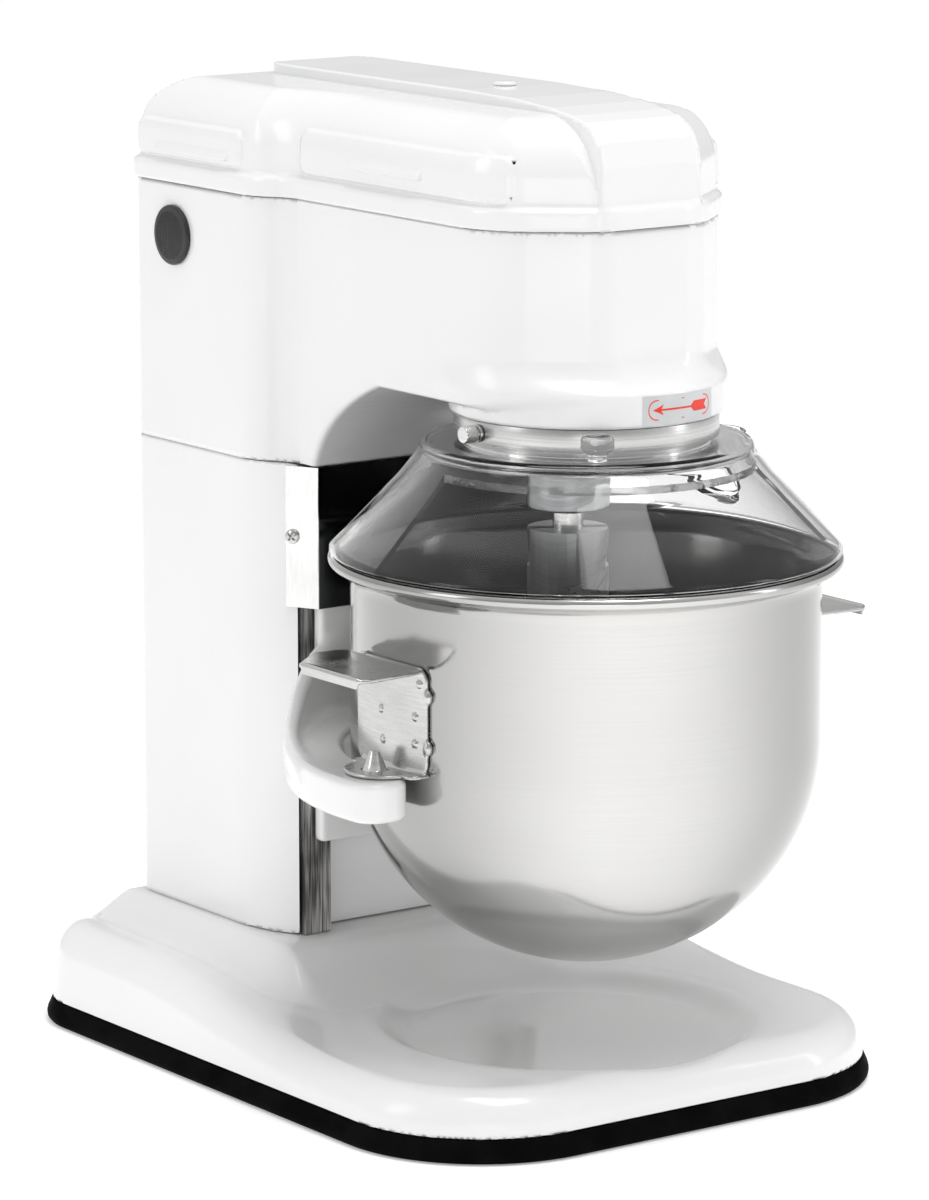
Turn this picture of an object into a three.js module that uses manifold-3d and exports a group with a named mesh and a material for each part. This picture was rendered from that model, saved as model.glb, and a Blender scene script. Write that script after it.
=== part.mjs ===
// Bench-top planetary stand mixer, drawn as separate pieces in millimetres.
// +Z is up, the front is -Y and the mid-plane is X = 0. Lengths along Y are measured from the
// bowl's upright axis, and the whole machine is then moved so that its footprint is centred.

import * as THREE from 'three';
import { mergeVertices } from 'three/addons/utils/BufferGeometryUtils.js';
import Module from 'manifold-3d';

const wasm = await Module();
wasm.setup();

// ---------------------------------------------------------------- driving dimensions

const GAP = 0.3;          // clearance between pieces that touch
const RUN = 0.6;          // clearance between pieces that slide past each other
const GUARD_GAP = 1;      // clearance between the two layers of the bowl guard

const base = {
  halfWidth: 149.6, front: -89.9, deck: 36, foot: 61,
  cornerFront: 78.6, cornerRear: 45, wall: 6,
};
const trim = { height: 12, flare: 3.1, width: 13 };
const column = {
  halfWidth: 85.2, height: 239.7, depth: 134.9, cornerDepth: 20.2,
  wall: 7, backRadius: 10, overhang: 20,
};
const rail = { outer: 72.5, width: 16, depth: 12.2, flange: 5.4, undercut: 5.5 };
const head = {
  halfWidth: 72.5, noseHalfWidth: 29.4, height: 131.7, nose: 50.7,
  cheek: 15.4, throat: 46.7, wall: 6.5,
};
const collar = { radius: 66.5, drop: 7.4, pocket: 9.7 };
const cover = {
  lip: 10.2, proud: 2, height: 57.7,
  shoulder: 4.5, wall: 4, spineHalfWidth: 30,
};
const bowl = { radius: 114.4, wall: 1.5, flare: 10.6, rimTube: 3, height: 201.5, dome: 110.5 };
const guard = {
  ringHeight: 11, ringWall: 3.8, sheet: 2.4, drop: 68.3,
  neck: 3, doorFrom: 144, doorTo: 396,
};
const fixedGuard = { from: 335, to: 538 };
const chute = { angle: 14, inset: 19.4, radius: 19.5, sink: 8 };
const drive = { eccentricity: 30, moduleSize: 2.5, planetTeeth: 14, toothHeight: 1.8, gearWidth: 9 };
const shafts = { main: 9, tool: 7.5, motor: 7, lever: 8 };
const socket = { radius: 19.5, height: 37.5, slot: 3.4, twist: 25 };
const yoke = {
  height: 19.7, gap: 3.6, width: 28, plateHalfWidth: 67,
  tipAngle: 36, plate: 7.5, plateHeight: 187,
};
const pin = { offset: 10.6, base: 6, tip: 2.8, height: 10.7 };
const bracket = {
  frontAngle: 15.3, backAngle: 19.4, height: 53, sheet: 2,
  reach: 39.6, lip: 5, foot: 19,
};
const lift = {
  travel: 32, pinionTeeth: 16, axisAbovePlate: 40.5,
  leverLength: 112, leverX: 101, leverTilt: 70,
};
const belt = { motorPulley: 14, drivenPulley: 38, width: 14, thickness: 2.5, motorBehind: 74.9 };
const panel = { thickness: 3, halfWidth: 34, height: 84, buttonRadius: 9, buttonTravel: 4, knobRadius: 17 };
const railCover = { height: 71.5, sheet: 1.2 };

// ---------------------------------------------------------------- worked-out places

const rimRadius = bowl.radius + bowl.flare;
const pinX = bowl.radius + pin.offset;
const railFront = rimRadius + 12.1;
const columnFront = railFront + rail.depth;
const motorY = railFront + belt.motorBehind;
const columnBack = railFront + column.depth;
const baseBack = columnBack + column.overhang;
const columnBottom = base.foot + GAP;
const columnTop = columnBottom + column.height;
const headBottom = columnTop + GAP;
const headTop = headBottom + head.height;
const coverBottom = headTop + GAP;
const coverTop = coverBottom + cover.height;
const throatZ = headBottom + head.throat;
const collarBottom = throatZ - collar.drop;
const floorZ = throatZ + head.wall + 0.8;
const ringTop = collarBottom - GAP;
const ringBottom = ringTop - guard.ringHeight;
const guardTop = ringBottom - guard.neck;
const rimTop = collarBottom - guard.drop - 1;
const bowlBottom = rimTop - bowl.height;
const armTop = rimTop - 94;
const armBottom = armTop - yoke.height;
const plateBottom = armBottom - 48;
const plateTop = plateBottom + yoke.plateHeight;
const plateFront = railFront - GAP - yoke.plate;
const skirt = { outer: collar.radius - 6.5, wall: 3.4 };
const ringTeeth = (2 * drive.eccentricity) / drive.moduleSize + drive.planetTeeth;
const planetAngle = -143.6;
const innerX = column.halfWidth - column.wall;
const pulleyBottom = floorZ + 31;
const leverZ = plateBottom + lift.axisAbovePlate;
const liftPinionRadius = (drive.moduleSize * lift.pinionTeeth) / 2;
const rackPitchY = railFront + 15;
const leverY = rackPitchY + liftPinionRadius;
const rackPitch = Math.PI * drive.moduleSize;
const rackTeeth = 9;
const rootDepth = drive.toothHeight * 1.25;
const rackLow = leverZ - rackPitch;
const rackHigh = rackLow + (rackTeeth + 1) * rackPitch;
const headSideY = columnFront - 3.1;
const headBlockY = headSideY + 16.1;
const panelX = column.halfWidth + GAP;
const panelY = columnBack - 57;
const panelZ = headBottom + 72;

// ---------------------------------------------------------------- solids

/** Closed three.js geometry as a manifold solid with its faces pointing out. */
function solid(geometry) {
  if (geometry instanceof wasm.Manifold) return geometry;
  const bare = new THREE.BufferGeometry();
  bare.setAttribute('position', geometry.getAttribute('position').clone());
  if (geometry.index) bare.setIndex(geometry.index.clone());
  const merged = mergeVertices(bare, 1e-4);
  const points = Float32Array.from(merged.getAttribute('position').array);
  const corners = merged.index.array;
  const faces = [];
  let volume = 0;
  const [a, b, c] = [new THREE.Vector3(), new THREE.Vector3(), new THREE.Vector3()];
  for (let i = 0; i < corners.length; i += 3) {
    const [p, q, r] = [corners[i], corners[i + 1], corners[i + 2]];
    if (p === q || q === r || r === p) continue;
    faces.push(p, q, r);
    a.fromArray(points, 3 * p);
    b.fromArray(points, 3 * q);
    c.fromArray(points, 3 * r);
    volume += a.dot(b.cross(c));
  }
  if (volume < 0) faces.reverse();
  return new wasm.Manifold(new wasm.Mesh({
    numProp: 3,
    vertProperties: points,
    triVerts: Uint32Array.from(faces),
  }));
}

/** Manifold solid back as a three.js geometry. */
function surface(manifold) {
  const mesh = manifold.getMesh();
  const geometry = new THREE.BufferGeometry();
  geometry.setAttribute('position', new THREE.BufferAttribute(Float32Array.from(mesh.vertProperties), 3));
  geometry.setIndex(new THREE.BufferAttribute(Uint32Array.from(mesh.triVerts), 1));
  return geometry;
}

const join = (...pieces) => surface(pieces.map(solid).reduce((whole, piece) => whole.add(piece)));
const cut = (body, ...tools) => surface(
  tools.map(solid).reduce((rest, tool) => rest.subtract(tool), solid(body)),
);
const common = (...pieces) => surface(pieces.map(solid).reduce((whole, piece) => whole.intersect(piece)));

/** Box between two corners. */
function block(x0, x1, y0, y1, z0, z1) {
  return new THREE.BoxGeometry(x1 - x0, y1 - y0, z1 - z0)
    .translate((x0 + x1) / 2, (y0 + y1) / 2, (z0 + z1) / 2);
}

/** Profile of [radius, height] points turned about Z; it closes on itself or ends on the axis. */
function turned(profile, sides = 28) {
  const points = profile.map(([radius, height]) => new THREE.Vector2(radius, height));
  const onAxis = profile[0][0] === 0 && profile[profile.length - 1][0] === 0;
  if (!onAxis) points.push(points[0].clone());
  return new THREE.LatheGeometry(points, sides).rotateX(Math.PI / 2);
}

/** Disc or ring about Z. */
function disc(radius, z0, z1, bore = 0, sides = 24) {
  return turned([[bore, z0], [radius, z0], [radius, z1], [bore, z1]], sides);
}

/** Outline of [x, y] points as a shape, with outlines of holes. */
function outline(points, holes = []) {
  const shape = new THREE.Shape(points.map(([x, y]) => new THREE.Vector2(x, y)));
  holes.forEach((hole) => shape.holes.push(new THREE.Path(hole.map(([x, y]) => new THREE.Vector2(x, y)))));
  return shape;
}

/** Shape in XY pushed up from z0 to z1. */
function prism(shape, z0, z1, curveSegments = 5) {
  return new THREE.ExtrudeGeometry(shape, { depth: z1 - z0, bevelEnabled: false, curveSegments })
    .translate(0, 0, z0);
}

/** Shape pushed up with a rounded top edge. */
function pillow(shape, z0, z1, edge, curveSegments = 4) {
  const body = new THREE.ExtrudeGeometry(shape, {
    depth: z1 - z0,
    bevelThickness: edge,
    bevelSize: edge,
    bevelOffset: -edge,
    bevelSegments: 2,
    curveSegments,
  }).translate(0, 0, z0 - edge);
  const span = 1000;
  return cut(body, block(-span, span, -span, span, z0 - 2 * edge - 1, z0));
}

/** Outline of [y, z] points pushed along X from x0 to x1. */
function slabX(points, x0, x1) {
  return new THREE.ExtrudeGeometry(outline(points), { depth: x1 - x0, bevelEnabled: false })
    .rotateX(Math.PI / 2)
    .rotateZ(Math.PI / 2)
    .translate(x0, 0, 0);
}

/** Outline of [x, z] points pushed along Y from y0 to y1. */
function slabY(points, y0, y1, holes = []) {
  return new THREE.ExtrudeGeometry(outline(points, holes), { depth: y1 - y0, bevelEnabled: false })
    .rotateX(Math.PI / 2)
    .translate(0, y1, 0);
}

const alongX = (geometry) => geometry.rotateY(Math.PI / 2);
const radians = (degrees) => (degrees * Math.PI) / 180;
const polar = (radius, degrees) => [radius * Math.cos(radians(degrees)), radius * Math.sin(radians(degrees))];
const mirrored = (points) => [...points, ...points.map(([x, y]) => [-x, y]).reverse()];

/** Points of an arc about (x, y), ends included. */
function arc(x, y, radius, from, to, steps) {
  return Array.from({ length: steps + 1 }, (_, i) => {
    const [dx, dy] = polar(radius, from + ((to - from) * i) / steps);
    return [x + dx, y + dy];
  });
}

/** Path moved sideways with mitred corners; a closed path joins its ends. */
function offsetPath(path, distance, closed = false) {
  const count = path.length;
  return path.map((point, i) => {
    const before = path[closed ? (i + count - 1) % count : Math.max(i - 1, 0)];
    const after = path[closed ? (i + 1) % count : Math.min(i + 1, count - 1)];
    const here = new THREE.Vector2(...point);
    const into = here.clone().sub(new THREE.Vector2(...before)).normalize();
    const out = new THREE.Vector2(...after).sub(here).normalize();
    if (into.length() === 0) into.copy(out);
    if (out.length() === 0) out.copy(into);
    const side = new THREE.Vector2(into.y + out.y, -into.x - out.x).normalize();
    const stretch = Math.max(side.dot(new THREE.Vector2(into.y, -into.x)), 0.3);
    side.multiplyScalar(distance / stretch);
    return [here.x + side.x, here.y + side.y];
  });
}

/** Sheet of even thickness along a path, as a closed outline. */
const sheet = (path, from, to) => [...offsetPath(path, from), ...offsetPath(path, to).reverse()];

/** Sector of a ring about Z. */
function sector(inner, outer, from, to, z0, z1, steps = 16) {
  const rim = arc(0, 0, outer, from, to, steps);
  const back = arc(0, 0, inner, to, from, steps);
  return prism(outline([...rim, ...back]), z0, z1);
}

/** Toothed outline of an external gear; low and high are its depths below and above the pitch circle. */
function teeth(count, moduleSize, low, high, share, turn = 0) {
  const pitch = (count * moduleSize) / 2;
  const step = 360 / count;
  return Array.from({ length: count }, (_, i) => {
    const middle = turn + i * step;
    const root = share * step * 0.66;
    const tip = share * step * 0.3;
    return [
      polar(pitch - low, middle - root),
      polar(pitch + high, middle - tip),
      polar(pitch + high, middle + tip),
      polar(pitch - low, middle + root),
    ];
  }).flat();
}

// ---------------------------------------------------------------- materials and pieces

const paint = {
  powderCoat: { color: 0xeef0ef, roughness: 0.3, metalness: 0 },
  steel: { color: 0xb9bcbf, roughness: 0.3, metalness: 1 },
  polished: { color: 0xd6d8da, roughness: 0.12, metalness: 1 },
  machined: { color: 0x8d9092, roughness: 0.5, metalness: 1 },
  aluminium: { color: 0xa9adb0, roughness: 0.45, metalness: 1 },
  copper: { color: 0x9c5b36, roughness: 0.5, metalness: 1 },
  clear: { color: 0xdfe6ea, roughness: 0.06, metalness: 0 },
  rubber: { color: 0x131314, roughness: 0.7, metalness: 0 },
  blackPlastic: { color: 0x17181a, roughness: 0.45, metalness: 0 },
  green: { color: 0x2c8a45, roughness: 0.35, metalness: 0 },
  red: { color: 0xb32024, roughness: 0.35, metalness: 0 },
};
for (const key of Object.keys(paint)) paint[key] = new THREE.MeshStandardMaterial(paint[key]);

const mixer = new THREE.Group();
mixer.name = 'stand_mixer';
mixer.position.y = (rimRadius - baseBack) / 2;

/** Names a piece, gives it its material and adds it to a group. */
function piece(name, geometry, material, parent = mixer) {
  const shape = surface(solid(geometry));
  shape.computeVertexNormals();
  const mesh = new THREE.Mesh(shape, material);
  mesh.name = name;
  parent.add(mesh);
  return mesh;
}

/** Group that stands at a point of its parent. */
function place(x, y, z, parent = mixer) {
  const group = new THREE.Group();
  group.position.set(x, y, z);
  parent.add(group);
  return group;
}

// ---------------------------------------------------------------- base

/** Plan of the base: wide round corners in front, smaller ones behind. */
function footprint(inset, front = base.front, halfWidth = base.halfWidth) {
  const x = halfWidth - inset;
  const back = baseBack - inset;
  const nose = front + inset;
  const bow = base.cornerFront - inset;
  const stern = base.cornerRear - inset;
  const frontCorner = arc(x - bow, nose + bow, bow, -90, 0, 7);
  const rearCorner = arc(x - stern, back - stern, stern, 0, 90, 5);
  const right = [...frontCorner, ...rearCorner];
  return mirrored(right);
}

function buildBase() {
  const edge = trim.flare;
  const inside = edge + base.wall;
  const plinth = baseBack - column.overhang;
  const casting = join(
    pillow(outline(footprint(edge)), trim.height + GAP, base.deck, 9),
    pillow(outline(footprint(edge + 4, railFront - 70)), base.deck - 12, base.deck + 11, 10),
    pillow(outline(mirrored([
      [column.halfWidth + 12, railFront - 8],
      ...arc(column.halfWidth - 4, plinth - 4, 16, 0, 90, 3),
    ])), base.deck + 2, base.foot, 12),
  );
  const hollow = prism(outline(footprint(inside)), 0, base.deck - base.wall);
  const dish = disc(90.8, base.deck - 2, base.deck + 2, 0, 36);
  piece('base_casting', cut(casting, hollow, dish), paint.powderCoat);
  const band = outline(footprint(0), [footprint(trim.width)]);
  piece('base_rubber_trim', prism(band, 0, trim.height), paint.rubber);
  const plate = prism(outline(footprint(inside + GAP)), trim.height + GAP, trim.height + GAP + 2);
  piece('base_bottom_plate', plate, paint.steel);
}

// ---------------------------------------------------------------- column, rails and their cover

function buildColumn() {
  const { halfWidth, wall, backRadius } = column;
  const lipX = rail.outer + GAP;
  const plan = mirrored([
    [lipX, columnFront],
    [lipX, railFront + GAP],
    [halfWidth, railFront + GAP + column.cornerDepth],
    ...arc(halfWidth - backRadius, columnBack - backRadius, backRadius, 0, 90, 4),
  ]);
  const inner = [[-innerX, columnFront + wall], [innerX, columnFront + wall],
    [innerX, columnBack - wall], [-innerX, columnBack - wall]];
  const body = prism(outline(plan, [inner]), columnBottom, columnTop);
  const slot = block(-15, 15, columnFront - 5, columnFront + wall + 5, rackLow - lift.travel - 2, rackHigh + 2);
  const leverHole = alongX(disc(shafts.lever + RUN, 60, 100)).translate(0, leverY, leverZ);
  const glandHole = disc(6.6, -20, 20).rotateX(Math.PI / 2).translate(0, columnBack, columnBottom + 40);
  const screwHoles = [-1, 1].map((side) => coverScrew(side, 2.4, 40));
  piece('column_casting', cut(body, slot, leverHole, glandHole, ...screwHoles), paint.powderCoat);

  const { outer, width, flange, undercut, depth } = rail;
  const section = [[outer, railFront], [outer, railFront + depth - GAP], [outer - width + undercut,
    railFront + depth - GAP], [outer - width + undercut, railFront + flange], [outer - width, railFront + flange],
    [outer - width, railFront]];
  const bar = cut(prism(outline(section), columnBottom, columnTop), coverScrew(1, 2.4, 40));
  piece('slide_rail_right', bar, paint.machined);
  piece('slide_rail_left', bar.clone().scale(-1, 1, 1), paint.machined);
}

/** Point on the column's cut corner: a distance back along it and a distance out from it. */
function onCorner(back, out) {
  const slope = Math.atan2(column.cornerDepth, column.halfWidth - rail.outer - GAP);
  return [rail.outer + GAP + back * Math.cos(slope) + out * Math.sin(slope),
    railFront + GAP + back * Math.sin(slope) - out * Math.cos(slope)];
}

/** Cylinder along the axis of a rail cover screw, which stands square on the column's cut corner. */
function coverScrew(side, radius, length, out = 0) {
  const [x, y] = onCorner(4.2, 0);
  const [nx, ny] = onCorner(4.2, 1);
  return disc(radius, -length, out, 0, 12)
    .rotateY(Math.PI / 2)
    .rotateZ(Math.atan2(ny - y, nx - x))
    .translate(x, y, 0)
    .scale(side, 1, 1)
    .translate(0, 0, columnTop - railCover.height / 2);
}

function buildRailCover() {
  const front = plateFront - RUN;
  const half = [onCorner(8, GAP), onCorner(-0.6, GAP), [rail.outer - 2.7, front]];
  const path = [...half.map(([x, y]) => [-x, y]), ...half.reverse()];
  const plate = prism(outline(sheet(path, 0, railCover.sheet)), columnTop - railCover.height, columnTop - GAP);
  const holes = [-1, 1].map((side) => coverScrew(side, 2.4, 6, 6));
  piece('rail_cover_plate', cut(plate, ...holes), paint.polished);
  [['left', -1], ['right', 1]].forEach(([label, side]) => {
    const screw = join(coverScrew(side, 2, 9, 2.4), cut(coverScrew(side, 4, 0, 4), coverScrew(side, 5, 0, 1.8)));
    piece(`rail_cover_screw_${label}`, screw, paint.steel);
  });
}

// ---------------------------------------------------------------- head and top cover

/** Plan of the head, moved in by inset: a wide block behind and a narrower nose with cut corners. */
function headPlan(inset) {
  const { halfWidth, backRadius } = column;
  return mirrored([
    [head.noseHalfWidth - inset * 0.4, -head.nose + inset],
    [head.halfWidth - inset, -head.cheek + inset * 0.5],
    [head.halfWidth - inset, headSideY + inset * 0.4],
    [halfWidth - inset, headBlockY + inset * 0.4],
    ...arc(halfWidth - backRadius, columnBack - backRadius, backRadius - inset, 0, 90, 3),
  ]);
}

function buildHead() {
  const throatWall = railFront - 9.5;
  const arch = new THREE.QuadraticBezierCurve(
    new THREE.Vector2(throatWall, headBottom),
    new THREE.Vector2(throatWall - 8, throatZ - 18),
    new THREE.Vector2(throatWall - 54, throatZ),
  ).getPoints(8).map(({ x, y }) => [x, y]);
  const side = [...arch, [-head.nose - 5, throatZ], [-head.nose - 5, headTop], [columnBack + 5, headTop],
    [columnBack + 5, headBottom]];
  const body = common(prism(outline(headPlan(0)), headBottom, headTop), slabX(side, -100, 100));
  const ring = disc(collar.radius, collarBottom, throatZ + 1, 0, 36);
  const nose = common(prism(outline(headPlan(head.wall)), floorZ, headTop + 1),
    block(-90, 90, -60, columnBack, floorZ, headTop + 1));
  const wellFront = columnFront + column.wall;
  const wellBack = columnBack - column.wall;
  const well = block(-innerX, innerX, wellFront, wellBack, headBottom - 1, headTop + 1);
  const pocket = disc(skirt.outer + GAP, collarBottom - 1, collarBottom + collar.pocket, 0, 30);
  const bore = disc(24, collarBottom, floorZ + 1, 0, 32);
  const holes = [
    alongX(disc(10.4, -20, 20, 0, 24)).translate(-column.halfWidth, columnBack - 40.2, headBottom + 105.7),
    alongX(disc(6.4, -20, 20, 0, 20)).translate(column.halfWidth, panelY, panelZ + 22),
    ...[-1, 1].map((way) => alongX(disc(panel.buttonRadius + 0.4, -20, 20, 0, 24))
      .translate(column.halfWidth, panelY + way * 16, panelZ - 22)),
  ];
  piece('head_casting', cut(join(body, ring), nose, well, pocket, bore, ...holes), paint.powderCoat);
}

/** Body of the top cover, or its inside when inset and lowered. */
function coverBody(inset, lower) {
  const top = coverTop - cover.shoulder - lower;
  const half = cover.spineHalfWidth - inset;
  const wide = column.halfWidth - inset;
  const dome = mirrored([[wide, coverBottom - 2], [wide, coverBottom + 20], [wide - 3, coverBottom + 32 - lower],
    [wide - 12, top - 11], [wide - 26, top - 3], [wide - 44, top], [0.001, top]]);
  const flank = [[-head.nose + inset, coverBottom - 2], [-head.nose + inset, coverBottom + 14],
    [-head.nose + 12 + inset, top - 12], [-head.nose + 34 + inset, top], [columnBack - 30 - inset, top],
    [columnBack - 12 - inset, top - 7], [columnBack - inset, top - 22], [columnBack - inset, coverBottom - 2]];
  const shell = common(
    prism(outline(headPlan(inset + 1)), coverBottom - 1, coverTop),
    slabY(dome, -head.nose - 1, columnBack + 1),
    slabX(flank, -100, 100),
  );
  const crest = coverTop - lower;
  const spine = [[-head.nose + inset, coverBottom], [-head.nose + inset, crest - 26],
    [-head.nose + 4 + inset, crest - 14], [-head.nose + 14 + inset, crest - 8], [-head.nose + 40, crest - 4],
    [60, crest], [columnBack - 40, crest], [columnBack - 32 - inset, crest - 4], [columnBack - 32 - inset, coverBottom]];
  return join(shell, slabX(spine, -half, half));
}

function buildCover() {
  const lip = prism(outline(headPlan(-cover.proud)), coverBottom, coverBottom + cover.lip);
  const below = block(-100, 100, -head.nose - 20, columnBack + 20, coverBottom - 10, coverBottom);
  const shell = cut(join(lip, coverBody(0, 0)), below);
  const inside = common(coverBody(cover.wall, cover.wall), prism(outline(headPlan(cover.wall + 1)),
    coverBottom - 3, coverTop));
  const plugHole = disc(4.3, coverTop - 20, coverTop + 5, 0, 16).translate(0, 66.5, 0);
  piece('top_cover', cut(shell, inside, plugHole), paint.powderCoat);
  const plug = turned([[0, -6], [4, -6], [4, GAP], [6, GAP], [6, 1.4], [5, 2.2], [0, 2.2]], 20);
  piece('cover_plug', plug.translate(0, 66.5, coverTop), paint.blackPlastic);

  const cap = turned([[0, -12], [10, -12], [10, GAP], [15.2, GAP], [15.2, 3], [13, 4.6], [0, 4.6]], 20);
  const capMesh = piece('side_blanking_cap', cap, paint.blackPlastic);
  capMesh.rotation.y = -Math.PI / 2;
  capMesh.position.set(-column.halfWidth, columnBack - 40.2, headBottom + 105.7);
}

// ---------------------------------------------------------------- controls and cable inlet

/** Helical spring along Z between two heights. */
function spring(radius, wire, z0, z1, turns) {
  class Helix extends THREE.Curve {
    getPoint(t, target = new THREE.Vector3()) {
      const angle = 2 * Math.PI * turns * t;
      const rise = z0 + wire + (z1 - z0 - 2 * wire) * t;
      return target.set(radius * Math.cos(angle), radius * Math.sin(angle), rise);
    }
  }
  const section = new THREE.Shape(arc(0, 0, wire, 0, 270, 3).map(([x, y]) => new THREE.Vector2(x, y)));
  const options = { steps: turns * 8, extrudePath: new Helix(), bevelEnabled: false };
  return new THREE.ExtrudeGeometry(section, options);
}

function buildControls() {
  const { thickness, halfWidth, height, buttonRadius, knobRadius } = panel;
  const desk = place(panelX, panelY, panelZ);
  desk.rotation.y = Math.PI / 2;
  // In this group Z points out of the side wall, X points down and Y points back.
  const plate = cut(
    block(-height / 2, height / 2, -halfWidth, halfWidth, 0, thickness),
    disc(6.4, -5, 5, 0, 20).translate(-22, 0, 0),
    disc(buttonRadius + 0.4, -5, 5, 0, 24).translate(22, -16, 0),
    disc(buttonRadius + 0.4, -5, 5, 0, 24).translate(22, 16, 0),
  );
  piece('control_panel', plate, paint.blackPlastic, desk);
  const knob = join(
    turned([[0, -16], [6, -16], [6, thickness + RUN], [knobRadius, thickness + RUN],
      [knobRadius - 1, thickness + 15], [knobRadius - 3, thickness + 17], [0, thickness + 17]], 24),
    block(-knobRadius + 2, knobRadius - 2, -2, 2, thickness + 15, thickness + 20),
  );
  piece('speed_knob', knob.translate(-22, 0, 0), paint.blackPlastic, desk);
  const [bore, back] = [6.4, -7.4];
  const button = turned([[0, 2], [bore, 2], [bore, back], [buttonRadius, back], [buttonRadius, 8.4],
    [buttonRadius - 1.4, 9.8], [0, 9.8]], 24);
  const coil = spring(5, 0.7, back - 11.4, 2 - panel.buttonTravel - 0.6, 4);
  [['start', -16, paint.green], ['stop', 16, paint.red]].forEach(([label, across, colour]) => {
    piece(`${label}_button`, button.clone().translate(22, across, 0), colour, desk);
    piece(`${label}_button_spring`, coil.clone().translate(22, across, 0), paint.steel, desk);
  });
  const block0 = back - 11.4 - GAP;
  piece('switch_block', block(10, 34, -27, 27, block0 - 9, block0), paint.blackPlastic, desk);
}

function buildGland() {
  const gland = turned([[0, -14], [6.3, -14], [6.3, GAP], [11, GAP], [11, 5], [9, 6], [8, 13], [4, 14], [4, 2],
    [0, 2]], 14);
  const mesh = piece('cable_gland', gland, paint.blackPlastic);
  mesh.rotation.x = -Math.PI / 2;
  mesh.position.set(0, columnBack, columnBottom + 40);
}

// ---------------------------------------------------------------- motor and belt

function buildMotor() {
  const motor = place(0, motorY, 0);
  const { motor: radius } = shafts;
  const bottom = columnTop - 100;
  const top = columnTop + 44;
  piece('motor_housing', turned([[radius + RUN, bottom], [48, bottom], [48, top], [radius + RUN, top],
    [radius + RUN, top - 5], [43, top - 5], [43, bottom + 5], [radius + RUN, bottom + 5]], 28), paint.aluminium, motor);
  piece('motor_stator', disc(42.6, bottom + 25, top - 25, 28, 28), paint.copper, motor);
  piece('motor_rotor', turned([[0, bottom - 8], [radius, bottom - 8], [radius, bottom + 20], [27, bottom + 20],
    [27, top - 20], [radius, top - 20], [radius, pulleyBottom + 18], [0, pulleyBottom + 18]], 20), paint.steel, motor);
  const plate = block(-innerX + 1, 54, -46, 46, top + GAP, top + 5);
  piece('motor_plate', cut(plate, disc(12, top - 5, top + 10, 0, 20)), paint.steel, motor);
  piece('motor_pulley', pulley(belt.motorPulley, radius + GAP, 24), paint.aluminium, motor);
}

/** Belt pulley with two flanges. */
function pulley(radius, bore, sides) {
  const top = pulleyBottom + belt.width + 2;
  return turned([[bore, pulleyBottom], [radius + 3, pulleyBottom], [radius + 3, pulleyBottom + 1.5],
    [radius, pulleyBottom + 1.5], [radius, top - 0.5], [radius + 3, top - 0.5], [radius + 3, top + 1], [bore, top + 1]],
  sides);
}

function buildBelt() {
  const back = motorY;
  const lean = (Math.acos((belt.drivenPulley - belt.motorPulley) / back) * 180) / Math.PI;
  const loop = (extra) => [
    ...arc(0, back, belt.motorPulley + extra, 90 - lean, 90 + lean, 10),
    ...arc(0, 0, belt.drivenPulley + extra, 90 + lean, 450 - lean, 24),
  ];
  const clear = 0.5;
  const ring = outline(loop(clear + belt.thickness), [loop(clear)]);
  piece('drive_belt', prism(ring, pulleyBottom + 2, pulleyBottom + belt.width), paint.rubber);
}

// ---------------------------------------------------------------- planetary drive and tool

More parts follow.
